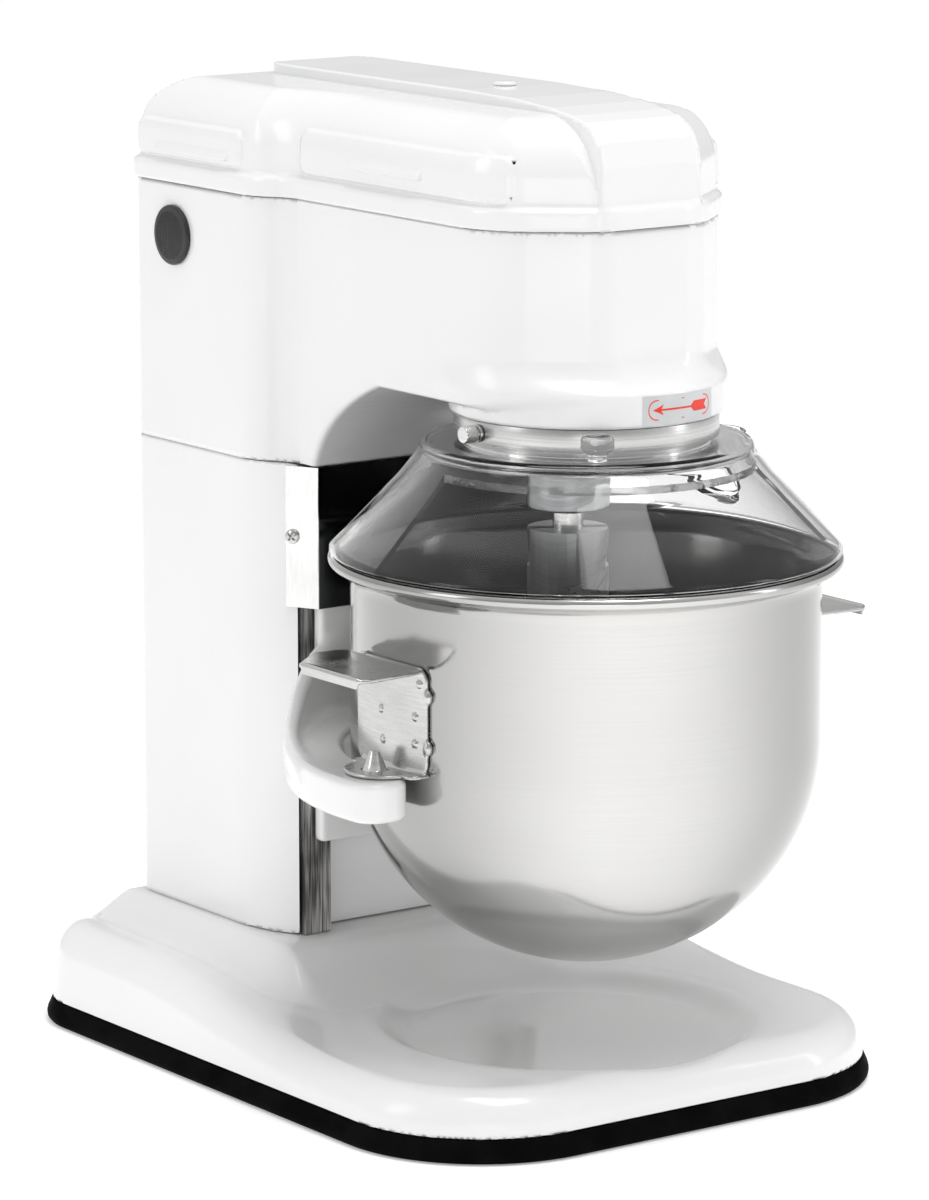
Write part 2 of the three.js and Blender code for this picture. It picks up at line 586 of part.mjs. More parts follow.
function buildDrive() {
  const { main, tool } = shafts;
  const flangeTop = floorZ + GAP + 5;
  const housing = turned([[20.3, floorZ + GAP], [42, floorZ + GAP], [42, flangeTop], [27, flangeTop],
    [27, floorZ + 28], [20.3, floorZ + 28]], 32);
  piece('bearing_housing', housing, paint.aluminium);
  piece('main_bearing_lower', disc(20, floorZ + 1, floorZ + 13, main + GAP, 24), paint.steel);
  piece('main_bearing_upper', disc(20, floorZ + 15, floorZ + 27, main + GAP, 24), paint.steel);
  const drumBottom = ringBottom - 10;
  piece('main_shaft', disc(main, drumBottom + 3, pulleyBottom + 20, 0, 20), paint.steel);
  piece('driven_pulley', pulley(belt.drivenPulley, main + GAP, 32), paint.aluminium);

  const skirtTop = collarBottom + collar.pocket - GAP;
  const inner = skirt.outer - skirt.wall;
  const screwBore = alongX(disc(2.7, -100, 100, 0, 12)).translate(0, 0, ringTop - guard.ringHeight / 2);
  const retainer = disc(skirt.outer + 5, drumBottom, guardTop - 2 * guard.sheet - GUARD_GAP - GAP, inner, 30);
  const tube = disc(skirt.outer, drumBottom, skirtTop, inner, 30);
  piece('drive_skirt', cut(join(tube, retainer), screwBore), paint.steel);

  const ringOutside = arc(0, 0, inner - 3 * GAP, 0, 360, 30).slice(0, -1);
  const turnRing = planetAngle + 180 / ringTeeth;
  const gap = teeth(ringTeeth, drive.moduleSize, drive.toothHeight, rootDepth, 0.67, turnRing + 180 / ringTeeth);
  const gearTop = skirtTop;
  const gearBottom = skirtTop - drive.gearWidth - 2;
  const gear = cut(prism(outline(ringOutside), gearBottom, gearTop), prism(outline(gap), gearBottom - 1, gearTop + 1));
  piece('ring_gear', gear, paint.machined);

  const hubBottom = ringBottom - 32;
  const [ex, ey] = polar(drive.eccentricity, planetAngle);
  const drum = join(disc(inner - 1.2, drumBottom + 1, gearBottom - 2, 0, 40), disc(20, hubBottom, drumBottom + 2, 0, 32)
    .translate(ex, ey, 0));
  const bearingBore = disc(16.3, hubBottom - 1, gearBottom, 0, 28).translate(ex, ey, 0);
  const shaftBore = disc(main + GAP, drumBottom + 2.7, gearTop, 0, 20);
  piece('planet_carrier', cut(drum, bearingBore, shaftBore), paint.aluminium);

  const planet = place(ex, ey, 0);
  const upper = gearBottom - 3 - 9;
  piece('planet_bearing_upper', disc(16, upper, upper + 9, tool + GAP, 24), paint.steel, planet);
  const lowerBearing = disc(16, hubBottom + 4.5, hubBottom + 13.5, tool + GAP, 24);
  piece('planet_bearing_lower', lowerBearing, paint.steel, planet);
  piece('oil_seal', disc(16, hubBottom + 0.8, hubBottom + 4, tool + GAP, 24), paint.rubber, planet);
  const pinion = outline(teeth(drive.planetTeeth, drive.moduleSize, rootDepth, drive.toothHeight, 0.34, planetAngle),
    [arc(0, 0, tool + GAP, 0, 360, 20).slice(0, -1)]);
  piece('planet_pinion', prism(pinion, gearBottom + 1, gearTop - 1), paint.machined, planet);

  const socketTop = hubBottom - 9.5;
  const pinZ = socketTop - 14.5;
  const shaft = cut(disc(tool, socketTop - 25, gearTop - 0.5, 0, 20), crossPin(2.9, 20, pinZ));
  piece('tool_shaft', shaft, paint.steel, planet);
  piece('bayonet_pin', crossPin(2.6, 18, pinZ), paint.steel, planet);
  piece('flat_beater', beater(socketTop, pinZ), paint.aluminium, planet);
}

/** Pin across the tool shaft. */
function crossPin(radius, reach, z) {
  return alongX(disc(radius, -reach, reach, 0, 14)).rotateZ(radians(planetAngle + 90)).translate(0, 0, z);
}

/** Reach of a tool at a height that just clears the bowl as it is carried round. */
function toolReach(z) {
  const depth = bowlBottom + bowl.dome - z;
  const across = depth > 0 ? Math.sqrt(Math.max(1 - (depth / (bowl.dome - bowl.wall)) ** 2, 0)) : 1;
  return (bowl.radius - bowl.wall) * across - drive.eccentricity - 4;
}

function beater(top, pinZ) {
  const bottom = top - socket.height;
  const low = bowlBottom + 15;
  const high = bottom - 26;
  const curve = Array.from({ length: 8 }, (_, i) => {
    const z = low + (high - low) * (1 - Math.cos((i / 7) * Math.PI / 2));
    return [toolReach(z), z];
  });
  const frame = mirrored([...curve, [toolReach(high) - 10, high + 14], [15, bottom + 6]]);
  const bar = 12;
  const windowOf = (side) => {
    const wall = curve.slice(2).map(([x, z]) => [side * (x - bar), z]);
    return [[side * 7, low + bar + 4], ...wall, [side * (toolReach(high) - bar - 8), high + 8],
      [side * 7, bottom - 9]];
  };
  const plate = slabY(frame, -6, 6, [windowOf(1), windowOf(-1)]);
  const hub = disc(socket.radius, bottom, top, 0, 28);
  const cavity = disc(shafts.tool + GAP, top - 25.4, top + 1, 0, 20);
  const turn = planetAngle + 90;
  const slot = (degrees, upTo) => block(-socket.radius - 2, socket.radius + 2, -socket.slot, socket.slot,
    pinZ - socket.slot, upTo).rotateZ(radians(turn + degrees));
  const entry = slot(socket.twist, top + 1);
  const lock = [0, 0.5].map((share) => slot(share * socket.twist, pinZ + socket.slot));
  return cut(join(plate, hub), cavity, entry, ...lock);
}

// ---------------------------------------------------------------- guard

/** Sheet path of the guard from its neck down to its rim. */
function guardPath() {
  const neck = skirt.outer + 0.6;
  const foot = rimTop + 1 + guard.sheet;
  return [[neck, guardTop], [80, guardTop], [82.5, guardTop - 6.5], [90.5, guardTop - 16.5],
    [rimRadius - 0.7, foot], [rimRadius - 0.7, foot - 2]];
}

function buildGuard() {
  const ring = disc(skirt.outer + GAP + guard.ringWall, ringBottom, ringTop, skirt.outer + GAP, 30);
  const screwZ = ringTop - guard.ringHeight / 2;
  const screwBore = alongX(disc(2.7, -100, 100, 0, 12)).translate(0, 0, screwZ);
  piece('guard_ring', cut(ring, screwBore), paint.steel);
  [['left', -1], ['right', 1]].forEach(([label, side]) => {
    const start = skirt.outer + GAP + guard.ringWall + GAP;
    const screw = turned([[0, -8], [2.4, -8], [2.4, 0], [4.4, 0], [4.4, 1.4], [3, 1.4], [3, 2.4], [4.1, 2.4],
      [4.1, 9.5], [0, 9.5]], 12);
    const mesh = piece(`thumb_screw_${label}`, screw, paint.polished);
    mesh.rotation.y = side * Math.PI / 2;
    mesh.position.set(side * start, 0, screwZ);
  });

  const path = guardPath();
  const wedge = (from, to) => sector(81.5, 200, from, to, rimTop - 10, guardTop + 5, 12);
  const doorSolid = turned(sheet(path, 0, guard.sheet), 60);
  const fixedSolid = turned(sheet(path, guard.sheet + GUARD_GAP, 2 * guard.sheet + GUARD_GAP), 60);
  const rimCut = disc(200, rimTop - 20, rimTop + 1, 0, 24);
  const [cx, cy] = polar(bowl.radius - chute.inset, chute.angle);
  const hole = disc(chute.radius - guard.sheet, rimTop - 5, guardTop + 10, 0, 24).translate(cx, cy, 0);
  const under = turned([[0, rimTop - 10], ...path.slice(1).map(([r, z]) => [r, z]).reverse()
    .map(([r, z]) => [r, z - guard.sheet / 2]), [0, guardTop - guard.sheet / 2]], 30);
  const chuteBore = chute.radius - guard.sheet;
  const tube = disc(chute.radius, rimTop + 12, guardTop - chute.sink, chuteBore, 24).translate(cx, cy, 0);
  const outsideNeck = disc(84, rimTop, guardTop + 5, 0, 40);
  const leaf = cut(doorSolid, wedge(guard.doorTo - 360, guard.doorFrom), rimCut, hole);
  piece('guard_door', join(leaf, cut(tube, under, outsideNeck)), paint.clear);
  const doorway = wedge(fixedGuard.to - 360, fixedGuard.from);
  piece('fixed_guard', cut(fixedSolid, doorway, rimCut, hole), paint.clear);
  const [kx, ky] = polar(72, -123);
  const knob = turned([[0, 0], [5, 0], [4, 3], [8, 6], [8, 11], [6.5, 12.5], [0, 12.5]], 18);
  piece('door_knob', knob.translate(kx, ky, guardTop + GAP), paint.clear);
  const [sx, sy] = polar(76, 14);
  const housing = block(sx - 5, sx + 5, sy - 8, sy + 8, throatZ - 15, throatZ - GAP);
  piece('interlock_switch', housing, paint.blackPlastic);
}

// ---------------------------------------------------------------- carriage and lift

function buildCarriage() {
  const { plateHalfWidth, tipAngle } = yoke;
  const inner = bowl.radius + yoke.gap;
  const outer = inner + yoke.width;
  const back = railFront - GAP;
  const plate = block(-plateHalfWidth, plateHalfWidth, plateFront, back, plateBottom, plateTop);
  const tongueX = rail.outer - rail.width - GAP;
  const tongue = block(-tongueX, tongueX, back - 1, railFront + rail.flange + GAP, plateBottom, plateTop);
  const slant = block(bowl.radius - 1, 2 * outer, -outer, outer, armBottom - 1, armTop + 1)
    .rotateZ(radians(-tipAngle));
  const arms = cut(sector(inner, outer, -11, 191, armBottom, armTop, 30), slant);
  const web = sector(outer - 6, outer, 18, 162, armTop - 1, plateTop, 28);
  const slope = slabX([[60, armTop - 2], [back, armTop - 2], [back, armTop + 50], [110, armTop + 40],
    [74, armTop]], -200, 200);
  const behind = block(-200, 200, back, 400, plateBottom - 1, plateTop + 1);
  const body = join(plate, cut(arms, behind), cut(common(web, slope), behind));
  piece('bowl_carriage', join(body, tongue), paint.powderCoat);

  const keeperY = railFront + rail.flange + 2 * GAP;
  const reach = rail.outer - rail.width + rail.undercut - RUN;
  const keeper = block(-reach, reach, keeperY, keeperY + 4, plateBottom + 6, plateTop - 6);
  [['left', -1], ['right', 1]].forEach(([label, side]) => {
    const post = turned([[0, 0], [pin.base, 0], [pin.tip, pin.height], [0, pin.height]], 20);
    const mesh = piece(`locating_pin_${label}`, post, paint.polished);
    mesh.position.set(side * pinX, 0, armTop + GAP);
  });

  const root = rackPitchY - rootDepth;
  const tip = rackPitchY + drive.toothHeight;
  const rows = Array.from({ length: rackTeeth }, (_, i) => {
    const z = rackLow + (i + 1) * rackPitch;
    return [[root, z - rackPitch * 0.26], [tip, z - rackPitch * 0.11],
      [tip, z + rackPitch * 0.11], [root, z + rackPitch * 0.26]];
  }).flat();
  const rack = [[keeperY, rackLow], [root, rackLow], ...rows, [root, rackHigh], [keeperY, rackHigh]];
  piece('lift_rack', join(keeper, slabX(rack, -11, 11)), paint.machined);
}

function buildLift() {
  const axle = place(0, leverY, leverZ);
  axle.rotation.y = Math.PI / 2;
  // In this group Z runs along the lever shaft towards +X, X points down and Y points back.
  const { lever } = shafts;
  const step = 360 / lift.pinionTeeth;
  const turn = -90 + step / 2;
  const gear = outline(teeth(lift.pinionTeeth, drive.moduleSize, rootDepth, drive.toothHeight, 0.36, turn));
  const shaft = disc(lever, -70, lift.leverX - GAP, 0, 20);
  piece('lever_shaft', join(shaft, prism(gear, -9, 9)), paint.steel, axle);
  const tip = lift.leverLength;
  const arm = cut(
    join(disc(15, lift.leverX - 12, lift.leverX, 0, 28), block(-tip, 0, -7, 7, lift.leverX - 10, lift.leverX - 2),
      disc(9, lift.leverX - 10, lift.leverX - 2, 0, 20).translate(-tip, 0, 0)),
    disc(lever + GAP, lift.leverX - 20, lift.leverX + 5, 0, 20),
    disc(3.3, lift.leverX - 20, lift.leverX + 5, 0, 14).translate(-tip, 0, 0),
  );
  const tilt = place(0, 0, 0, axle);
  tilt.rotation.z = radians(-lift.leverTilt);
  piece('lift_lever', arm, paint.steel, tilt);
  const grip = turned([[0, -9], [3, -9], [3, GAP], [8, GAP], [12, 8], [14, 20], [13, 30], [8, 35], [0, 36]], 20);
  piece('lever_knob', grip.translate(-tip, 0, lift.leverX - 2), paint.blackPlastic, tilt);
}

// ---------------------------------------------------------------- bowl

function buildBowl() {
  const { radius, wall, rimTube, dome } = bowl;
  const centre = bowlBottom + dome;
  const flat = 24;
  const curve = (across, down, steps) => Array.from({ length: steps + 1 }, (_, i) => {
    const angle = Math.asin(flat / across) + (Math.PI / 2 - Math.asin(flat / across)) * (i / steps);
    return [across * Math.sin(angle), centre - down * Math.cos(angle)];
  });
  const outside = curve(radius, dome, 6);
  const inside = curve(radius - wall, dome - wall, 6).reverse();
  const lipLow = rimTop - 11;
  const rolled = arc(rimRadius - rimTube, rimTop - rimTube, rimTube, -100, 120, 4);
  const profile = [[0, outside[0][1]], ...outside, [radius, lipLow], ...rolled, [radius - wall + 1, lipLow + 5],
    [radius - wall, lipLow - 1], ...inside, [0, inside[inside.length - 1][1]]];
  piece('bowl', turned(profile, 32), paint.polished);

  const { frontAngle, backAngle, height, sheet: gauge, lip, foot } = bracket;
  const low = armTop + GAP;
  const high = low + height;
  const inner = radius + GAP;
  const reach = radius + bracket.reach;
  const wallSheet = sector(inner, inner + gauge, -frontAngle, backAngle, low, high, 10);
  const near = -(inner + gauge) * Math.sin(radians(frontAngle));
  const far = (inner + gauge) * Math.sin(radians(backAngle));
  const gripEnd = far / 2;
  const grip = [[radius - 10, near], [reach - 6, near], [reach, near + 5], [reach, gripEnd], [inner + foot, far],
    [radius - 10, far]];
  const flange = prism(outline(grip), high - gauge, high);
  const fold = block(reach - gauge, reach, near + 5, gripEnd, high - lip, high);
  const footX = pinX - 5;
  const tab = join(block(radius - 10, pinX, near + 4, -near - 4, low, low + gauge),
    disc(foot, low, low + gauge, 0, 28).translate(footX, 0, 0));
  const shape = cut(join(wallSheet, flange, fold, tab), disc(inner, low - 5, high + 5, 0, 36),
    disc(pin.base + 0.5, low - 5, low + 5, 0, 20).translate(pinX, 0, 0));
  piece('bowl_bracket_right', shape, paint.polished);
  piece('bowl_bracket_left', shape.clone().scale(-1, 1, 1), paint.polished);
}

buildBase();
buildColumn();
buildRailCover();
buildHead();
buildCover();
buildControls();
buildGland();
buildMotor();
buildBelt();
buildDrive();
buildGuard();
buildCarriage();
buildLift();
buildBowl();

export default mixer;
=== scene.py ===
"""Visual model of a bench-top planetary mixer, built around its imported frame.

Shapes are worked out in millimetres with the bowl's axis at X = 0, Y = 0 and Z up. The meshes are then
moved by AXIS_Y and scaled to metres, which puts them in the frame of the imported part.
"""

from __future__ import annotations

import logging
import math
from dataclasses import dataclass, field
from enum import Enum
from typing import Callable, Iterable, Sequence

import bmesh
import bpy
import numpy as np
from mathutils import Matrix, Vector

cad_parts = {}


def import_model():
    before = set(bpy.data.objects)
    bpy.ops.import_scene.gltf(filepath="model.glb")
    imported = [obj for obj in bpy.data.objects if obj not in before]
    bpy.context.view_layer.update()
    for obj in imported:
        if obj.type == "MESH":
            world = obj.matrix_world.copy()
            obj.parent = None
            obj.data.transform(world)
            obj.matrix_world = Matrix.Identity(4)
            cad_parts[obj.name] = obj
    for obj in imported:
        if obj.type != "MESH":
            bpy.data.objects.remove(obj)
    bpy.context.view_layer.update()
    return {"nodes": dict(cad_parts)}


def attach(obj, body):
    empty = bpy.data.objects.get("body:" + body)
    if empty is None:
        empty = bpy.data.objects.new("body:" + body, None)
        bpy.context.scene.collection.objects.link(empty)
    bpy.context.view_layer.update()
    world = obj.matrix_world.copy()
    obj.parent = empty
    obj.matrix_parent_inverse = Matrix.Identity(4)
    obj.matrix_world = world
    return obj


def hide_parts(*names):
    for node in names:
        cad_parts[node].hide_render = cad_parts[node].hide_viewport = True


LOG = logging.getLogger("mixer")
AXIS_Y = -83.5
MM = 0.001
Field = Callable[[np.ndarray, np.ndarray, np.ndarray], np.ndarray]
Points = Sequence[tuple[float, float]]


# ---------------------------------------------------------------- distance fields


def round_max(a: np.ndarray, b: np.ndarray, radius: float | np.ndarray) -> np.ndarray:
    """Common part of two solids, with the outer edge between them rounded.

    Args:
        a: Signed distance to the first solid, negative inside.
        b: Signed distance to the second solid.
        radius: Radius of the rounded edge.

    Returns:
        Signed distance to the common part.
    """
    u = np.maximum(radius + a, 0.0)
    v = np.maximum(radius + b, 0.0)
    return np.minimum(-radius, np.maximum(a, b)) + np.hypot(u, v)


def round_min(a: np.ndarray, b: np.ndarray, radius: float | np.ndarray) -> np.ndarray:
    """Two solids joined, with a fillet of that radius in the corner between them."""
    return -round_max(-a, -b, radius)


def without(a: np.ndarray, b: np.ndarray, radius: float = 0.4) -> np.ndarray:
    """The first solid with the second taken away, its new edge rounded by radius."""
    return round_max(a, -b, radius)


def smooth(low: float, high: float, value: np.ndarray) -> np.ndarray:
    """Smooth step from 0 at low to 1 at high."""
    t = np.clip((value - low) / (high - low), 0.0, 1.0)
    return t * t * (3.0 - 2.0 * t)


def span(value: np.ndarray, low: float, high: float) -> np.ndarray:
    """Signed distance to the slab between low and high."""
    return np.abs(value - 0.5 * (low + high)) - 0.5 * (high - low)


def polygon(x: np.ndarray, y: np.ndarray, points: Points) -> np.ndarray:
    """Signed distance in the plane to a closed polygon.

    Args:
        x: First coordinates.
        y: Second coordinates.
        points: The polygon's corners in order.

    Returns:
        The distance, negative inside.
    """
    x, y = np.broadcast_arrays(x, y)
    best = np.full(x.shape, 1e12)
    sign = np.ones(x.shape)
    for i, (px, py) in enumerate(points):
        qx, qy = points[i - 1]
        ex, ey = qx - px, qy - py
        wx, wy = x - px, y - py
        t = np.clip((wx * ex + wy * ey) / (ex * ex + ey * ey), 0.0, 1.0)
        best = np.minimum(best, (wx - ex * t) ** 2 + (wy - ey * t) ** 2)
        above, below = y >= py, y < qy
        left = ex * wy > ey * wx
        flip = (above & below & left) | (~above & ~below & ~left)
        sign = np.where(flip, -sign, sign)
    return sign * np.sqrt(best)


def facet(x: np.ndarray, y: np.ndarray, start: tuple[float, float], end: tuple[float, float]) -> np.ndarray:
    """Signed distance to the half plane on the left of the line from start to end."""
    ex, ey = end[0] - start[0], end[1] - start[1]
    size = math.hypot(ex, ey)
    return (ey * (x - start[0]) - ex * (y - start[1])) / size


def tube_along_x(y: np.ndarray, z: np.ndarray, at: tuple[float, float], radius: float) -> np.ndarray:
    """Signed distance to an endless cylinder along X."""
    return np.hypot(y - at[0], z - at[1]) - radius


def surface_net(shape: Field, low: Sequence[float], high: Sequence[float], pitch: float) -> tuple:
    """Meshes a field's zero surface on an even grid, then moves every corner onto the surface.

    Args:
        shape: The field, in millimetres, negative inside.
        low: Lowest corner of the grid.
        high: Highest corner of the grid.
        pitch: Distance between grid lines.

    Returns:
        Corners, quads as corner numbers, and the surface normal at each corner.
    """
    axes = [np.arange(a - 1.37 * pitch, b + 2.0 * pitch, pitch) for a, b in zip(low, high)]
    x, y, z = axes[0][:, None, None], axes[1][None, :, None], axes[2][None, None, :]
    full = tuple(len(a) for a in axes)
    values = np.array(np.broadcast_to(shape(x, y, z), full), dtype=np.float64)
    inside = values < 0
    corner = [(i, j, k) for i in (0, 1) for j in (0, 1) for k in (0, 1)]
    cells = [inside[i : full[0] - 1 + i, j : full[1] - 1 + j, k : full[2] - 1 + k] for i, j, k in corner]
    count = sum(c.astype(np.int8) for c in cells)
    active = np.nonzero((count > 0) & (count < 8))
    number = np.full(count.shape, -1, dtype=np.int64)
    number[active] = np.arange(len(active[0]))
    total = np.zeros((len(active[0]), 3))
    hits = np.zeros(len(active[0]))
    base = np.stack(active, axis=1)
    for a in corner:
        for axis in range(3):
            if a[axis]:
                continue
            b = tuple(1 if n == axis else a[n] for n in range(3))
            va = values[tuple((base + a).T)]
            vb = values[tuple((base + b).T)]
            cross = (va < 0) != (vb < 0)
            t = np.where(cross, va / np.where(cross, va - vb, 1.0), 0.0)
            point = base + np.array(a, float)
            point[:, axis] += t
            total += np.where(cross[:, None], point, 0.0)
            hits += cross
    local = total / hits[:, None]
    start = np.array([a[0] for a in axes])
    co = start + local * pitch
    quads = []
    for axis in range(3):
        o1, o2 = (axis + 1) % 3, (axis + 2) % 3
        here = [slice(1, n - 1) for n in full]
        here[axis] = slice(0, full[axis] - 1)
        there = list(here)
        there[axis] = slice(1, full[axis])
        ins, out = inside[tuple(here)], inside[tuple(there)]
        index = np.stack(np.nonzero(ins != out), axis=1)
        grid = index + np.array([s.start for s in here])
        ring = []
        for s1, s2 in ((-1, -1), (0, -1), (0, 0), (-1, 0)):
            cell = grid.copy()
            cell[:, o1] += s1
            cell[:, o2] += s2
            ring.append(number[tuple(cell.T)])
        quad = np.stack(ring, axis=1)
        forward = ins[tuple(index.T)]
        quads.append(np.where(forward[:, None], quad, quad[:, ::-1]))
    quads = np.concatenate(quads)
    for _ in range(4):
        value, normal, slope = gradient(shape, co)
        step = np.clip(value / np.maximum(slope, 0.2), -0.6 * pitch, 0.6 * pitch)
        co = co - normal * step[:, None]
    return co, quads, gradient(shape, co)[1]


def gradient(shape: Field, co: np.ndarray, step: float = 0.06) -> tuple[np.ndarray, np.ndarray, np.ndarray]:
    """Value, unit normal and steepness of a field at some points.

    Args:
        shape: The field.
        co: Points, one a row.
        step: Half the distance over which the slope is measured.

    Returns:
        The values, the unit normals and the lengths of the slopes.
    """
    x, y, z = co.T
    value = shape(x, y, z)
    slopes = np.stack(
        [
            shape(x + step, y, z) - shape(x - step, y, z),
            shape(x, y + step, z) - shape(x, y - step, z),
            shape(x, y, z + step) - shape(x, y, z - step),
        ],
        axis=1,
    ) / (2.0 * step)
    size = np.linalg.norm(slopes, axis=1)
    return value, slopes / np.maximum(size, 1e-9)[:, None], size


# ---------------------------------------------------------------- meshes


def mesh_object(name: str, co: np.ndarray, faces: Iterable[Sequence[int]], normals: np.ndarray | None = None,
                shaded: bool = True) -> bpy.types.Object:
    """Makes a Blender object from corners in millimetres round the bowl's axis.

    Args:
        name: Name of the object.
        co: Corners, one a row.
        faces: Corner numbers of each face.
        normals: Surface normals at the corners, where they are known.
        shaded: True for smooth shading.

    Returns:
        The new object, linked to the scene.
    """
    co = (np.asarray(co, float) + (0.0, AXIS_Y, 0.0)) * MM
    mesh = bpy.data.meshes.new(name)
    faces = faces.tolist() if isinstance(faces, np.ndarray) else [list(f) for f in faces]
    mesh.from_pydata(co.tolist(), [], faces)
    mesh.polygons.foreach_set("use_smooth", np.full(len(mesh.polygons), shaded))
    if normals is not None:
        mesh.normals_split_custom_set_from_vertices(normals.tolist())
    mesh.update()
    made = bpy.data.objects.new(name, mesh)
    bpy.context.scene.collection.objects.link(made)
    return made


def cast(name: str, shape: Field, low: Sequence[float], high: Sequence[float],
         pitch: float) -> bpy.types.Object:
    """Object of a field's surface, with exact normals."""
    co, quads, normals = surface_net(shape, low, high, pitch)
    LOG.info("%s: %d faces", name, 2 * len(quads))
    return mesh_object(name, co, quads, normals)


def soften(points: Points, radius: float, steps: int = 5) -> list[tuple[float, float]]:
    """An open path with each inner corner rounded.

    Args:
        points: The path's corners.
        radius: How far from a corner the rounding starts, at most half a side.
        steps: Number of points that replace a corner.

    Returns:
        The rounded path.
    """
    done = [tuple(points[0])]
    for before, at, after in zip(points, points[1:-1], points[2:]):
        a, b, c = (np.array(p, float) for p in (before, at, after))
        start = b + (a - b) * min(radius / max(np.linalg.norm(a - b), 1e-9), 0.5)
        end = b + (c - b) * min(radius / max(np.linalg.norm(c - b), 1e-9), 0.5)
        for t in np.linspace(0.0, 1.0, steps):
            done.append(tuple((1 - t) ** 2 * start + 2 * t * (1 - t) * b + t * t * end))
    done.append(tuple(points[-1]))
    return done


def soften_loop(points: Points, radius: float, steps: int = 4) -> list[tuple[float, float]]:
    """A closed path with every corner rounded."""
    wrapped = [points[-1], *points, points[0]]
    return soften(wrapped, radius, steps)[1:-1]


def shift_path(points: Points, distance: float) -> list[tuple[float, float]]:
    """An open path moved sideways, to the right of its direction when distance is positive."""
    co = np.array(points, float)
    ahead = np.diff(co, axis=0)
    ahead /= np.linalg.norm(ahead, axis=1)[:, None]
    side = np.stack([ahead[:, 1], -ahead[:, 0]], axis=1)
    mean = np.vstack([side[:1], side[:-1] + side[1:], side[-1:]])
    mean /= np.linalg.norm(mean, axis=1)[:, None]
    scale = np.concatenate([[1.0], np.einsum("ij,ij->i", mean[1:-1], side[1:]), [1.0]])
    return [tuple(p) for p in co + mean * (distance / scale)[:, None]]


def turned(name: str, profile: Points, centre: tuple[float, float, float] = (0.0, 0.0, 0.0), steps: int = 96,
           closed: bool = False) -> bpy.types.Object:
    """A solid of revolution about a vertical line.

    Args:
        name: Name of the object.
        profile: Radius and height pairs. An open profile starts and ends on the axis.
        centre: Foot of the axis.
        steps: Number of sides.
        closed: True where the profile is a closed loop clear of the axis.

    Returns:
        The new object.
    """
    radii = np.array([p[0] for p in profile])
    heights = np.array([p[1] for p in profile])
    angles = np.linspace(0.0, 2.0 * math.pi, steps, endpoint=False)
    co = np.stack(
        [
            centre[0] + np.outer(np.cos(angles), radii),
            centre[1] + np.outer(np.sin(angles), radii),
            centre[2] + np.outer(np.ones(steps), heights),
        ],
        axis=2,
    ).reshape(-1, 3)
    many = len(profile)
    sides = many if closed else many - 1
    faces = []
    for i in range(steps):
        j = (i + 1) % steps
        for k in range(sides):
            m = (k + 1) % many
            quad = [i * many + k, j * many + k, j * many + m, i * many + m]
            if not closed and radii[k] < 1e-6:
                quad = [quad[0], quad[2], quad[3]]
            elif not closed and radii[m] < 1e-6:
                quad = [quad[0], quad[1], quad[2]]
            faces.append(quad)
    made = mesh_object(name, co, faces)
    tidy(made)
    return made


def tidy(piece: bpy.types.Object, merge: float = 1e-6) -> None:
    """Merges corners that coincide and turns every face outwards.

    Args:
        piece: The object whose mesh is put right.
        merge: Distance below which two corners become one, in metres.
    """
    work = bmesh.new()
    work.from_mesh(piece.data)
    bmesh.ops.remove_doubles(work, verts=work.verts, dist=merge)
    bmesh.ops.recalc_face_normals(work, faces=work.faces)
    work.to_mesh(piece.data)
    work.free()


def crisp(piece: bpy.types.Object, degrees: float = 32.0) -> None:
    """Marks the edges sharper than that angle, so that smooth shading stops at them."""
    piece.data.polygons.foreach_set("use_smooth", np.full(len(piece.data.polygons), True))
    piece.data.set_sharp_from_angle(angle=math.radians(degrees))


def boolean(piece: bpy.types.Object, tool: bpy.types.Object, kind: str) -> None:
    """Cuts or joins a mesh with another, and removes that other.

    Args:
        piece: The object that changes.
        tool: The object used up.
        kind: DIFFERENCE, UNION or INTERSECT.
    """
    change = piece.modifiers.new("cut", "BOOLEAN")
    change.operation = kind
    change.solver = "EXACT"
    change.object = tool
    graph = bpy.context.evaluated_depsgraph_get()
    mesh = bpy.data.meshes.new_from_object(piece.evaluated_get(graph))
    piece.modifiers.clear()
    piece.data = mesh
    bpy.data.objects.remove(tool)


def swept_ring(name: str, outline: Points, section: Points) -> bpy.types.Object:
    """A closed band: a section carried round a closed outline.

    Args:
        name: Name of the object.
        outline: Plan of the band, counterclockwise.
        section: Pairs of distance outwards from the outline, and height.

    Returns:
        The new object.
    """
    plan = np.array(outline, float)
    ahead = np.roll(plan, -1, axis=0) - np.roll(plan, 1, axis=0)
    ahead /= np.linalg.norm(ahead, axis=1)[:, None]
    out = np.stack([ahead[:, 1], -ahead[:, 0]], axis=1)
    many = len(section)
    co = np.array([[*(p + n * d), h] for p, n in zip(plan, out) for d, h in section])
    faces = []
    for i in range(len(plan)):
        j = (i + 1) % len(plan)
        for k in range(many):
            m = (k + 1) % many
            faces.append([i * many + k, j * many + k, j * many + m, i * many + m])
    made = mesh_object(name, co, faces)
    tidy(made)
    return made


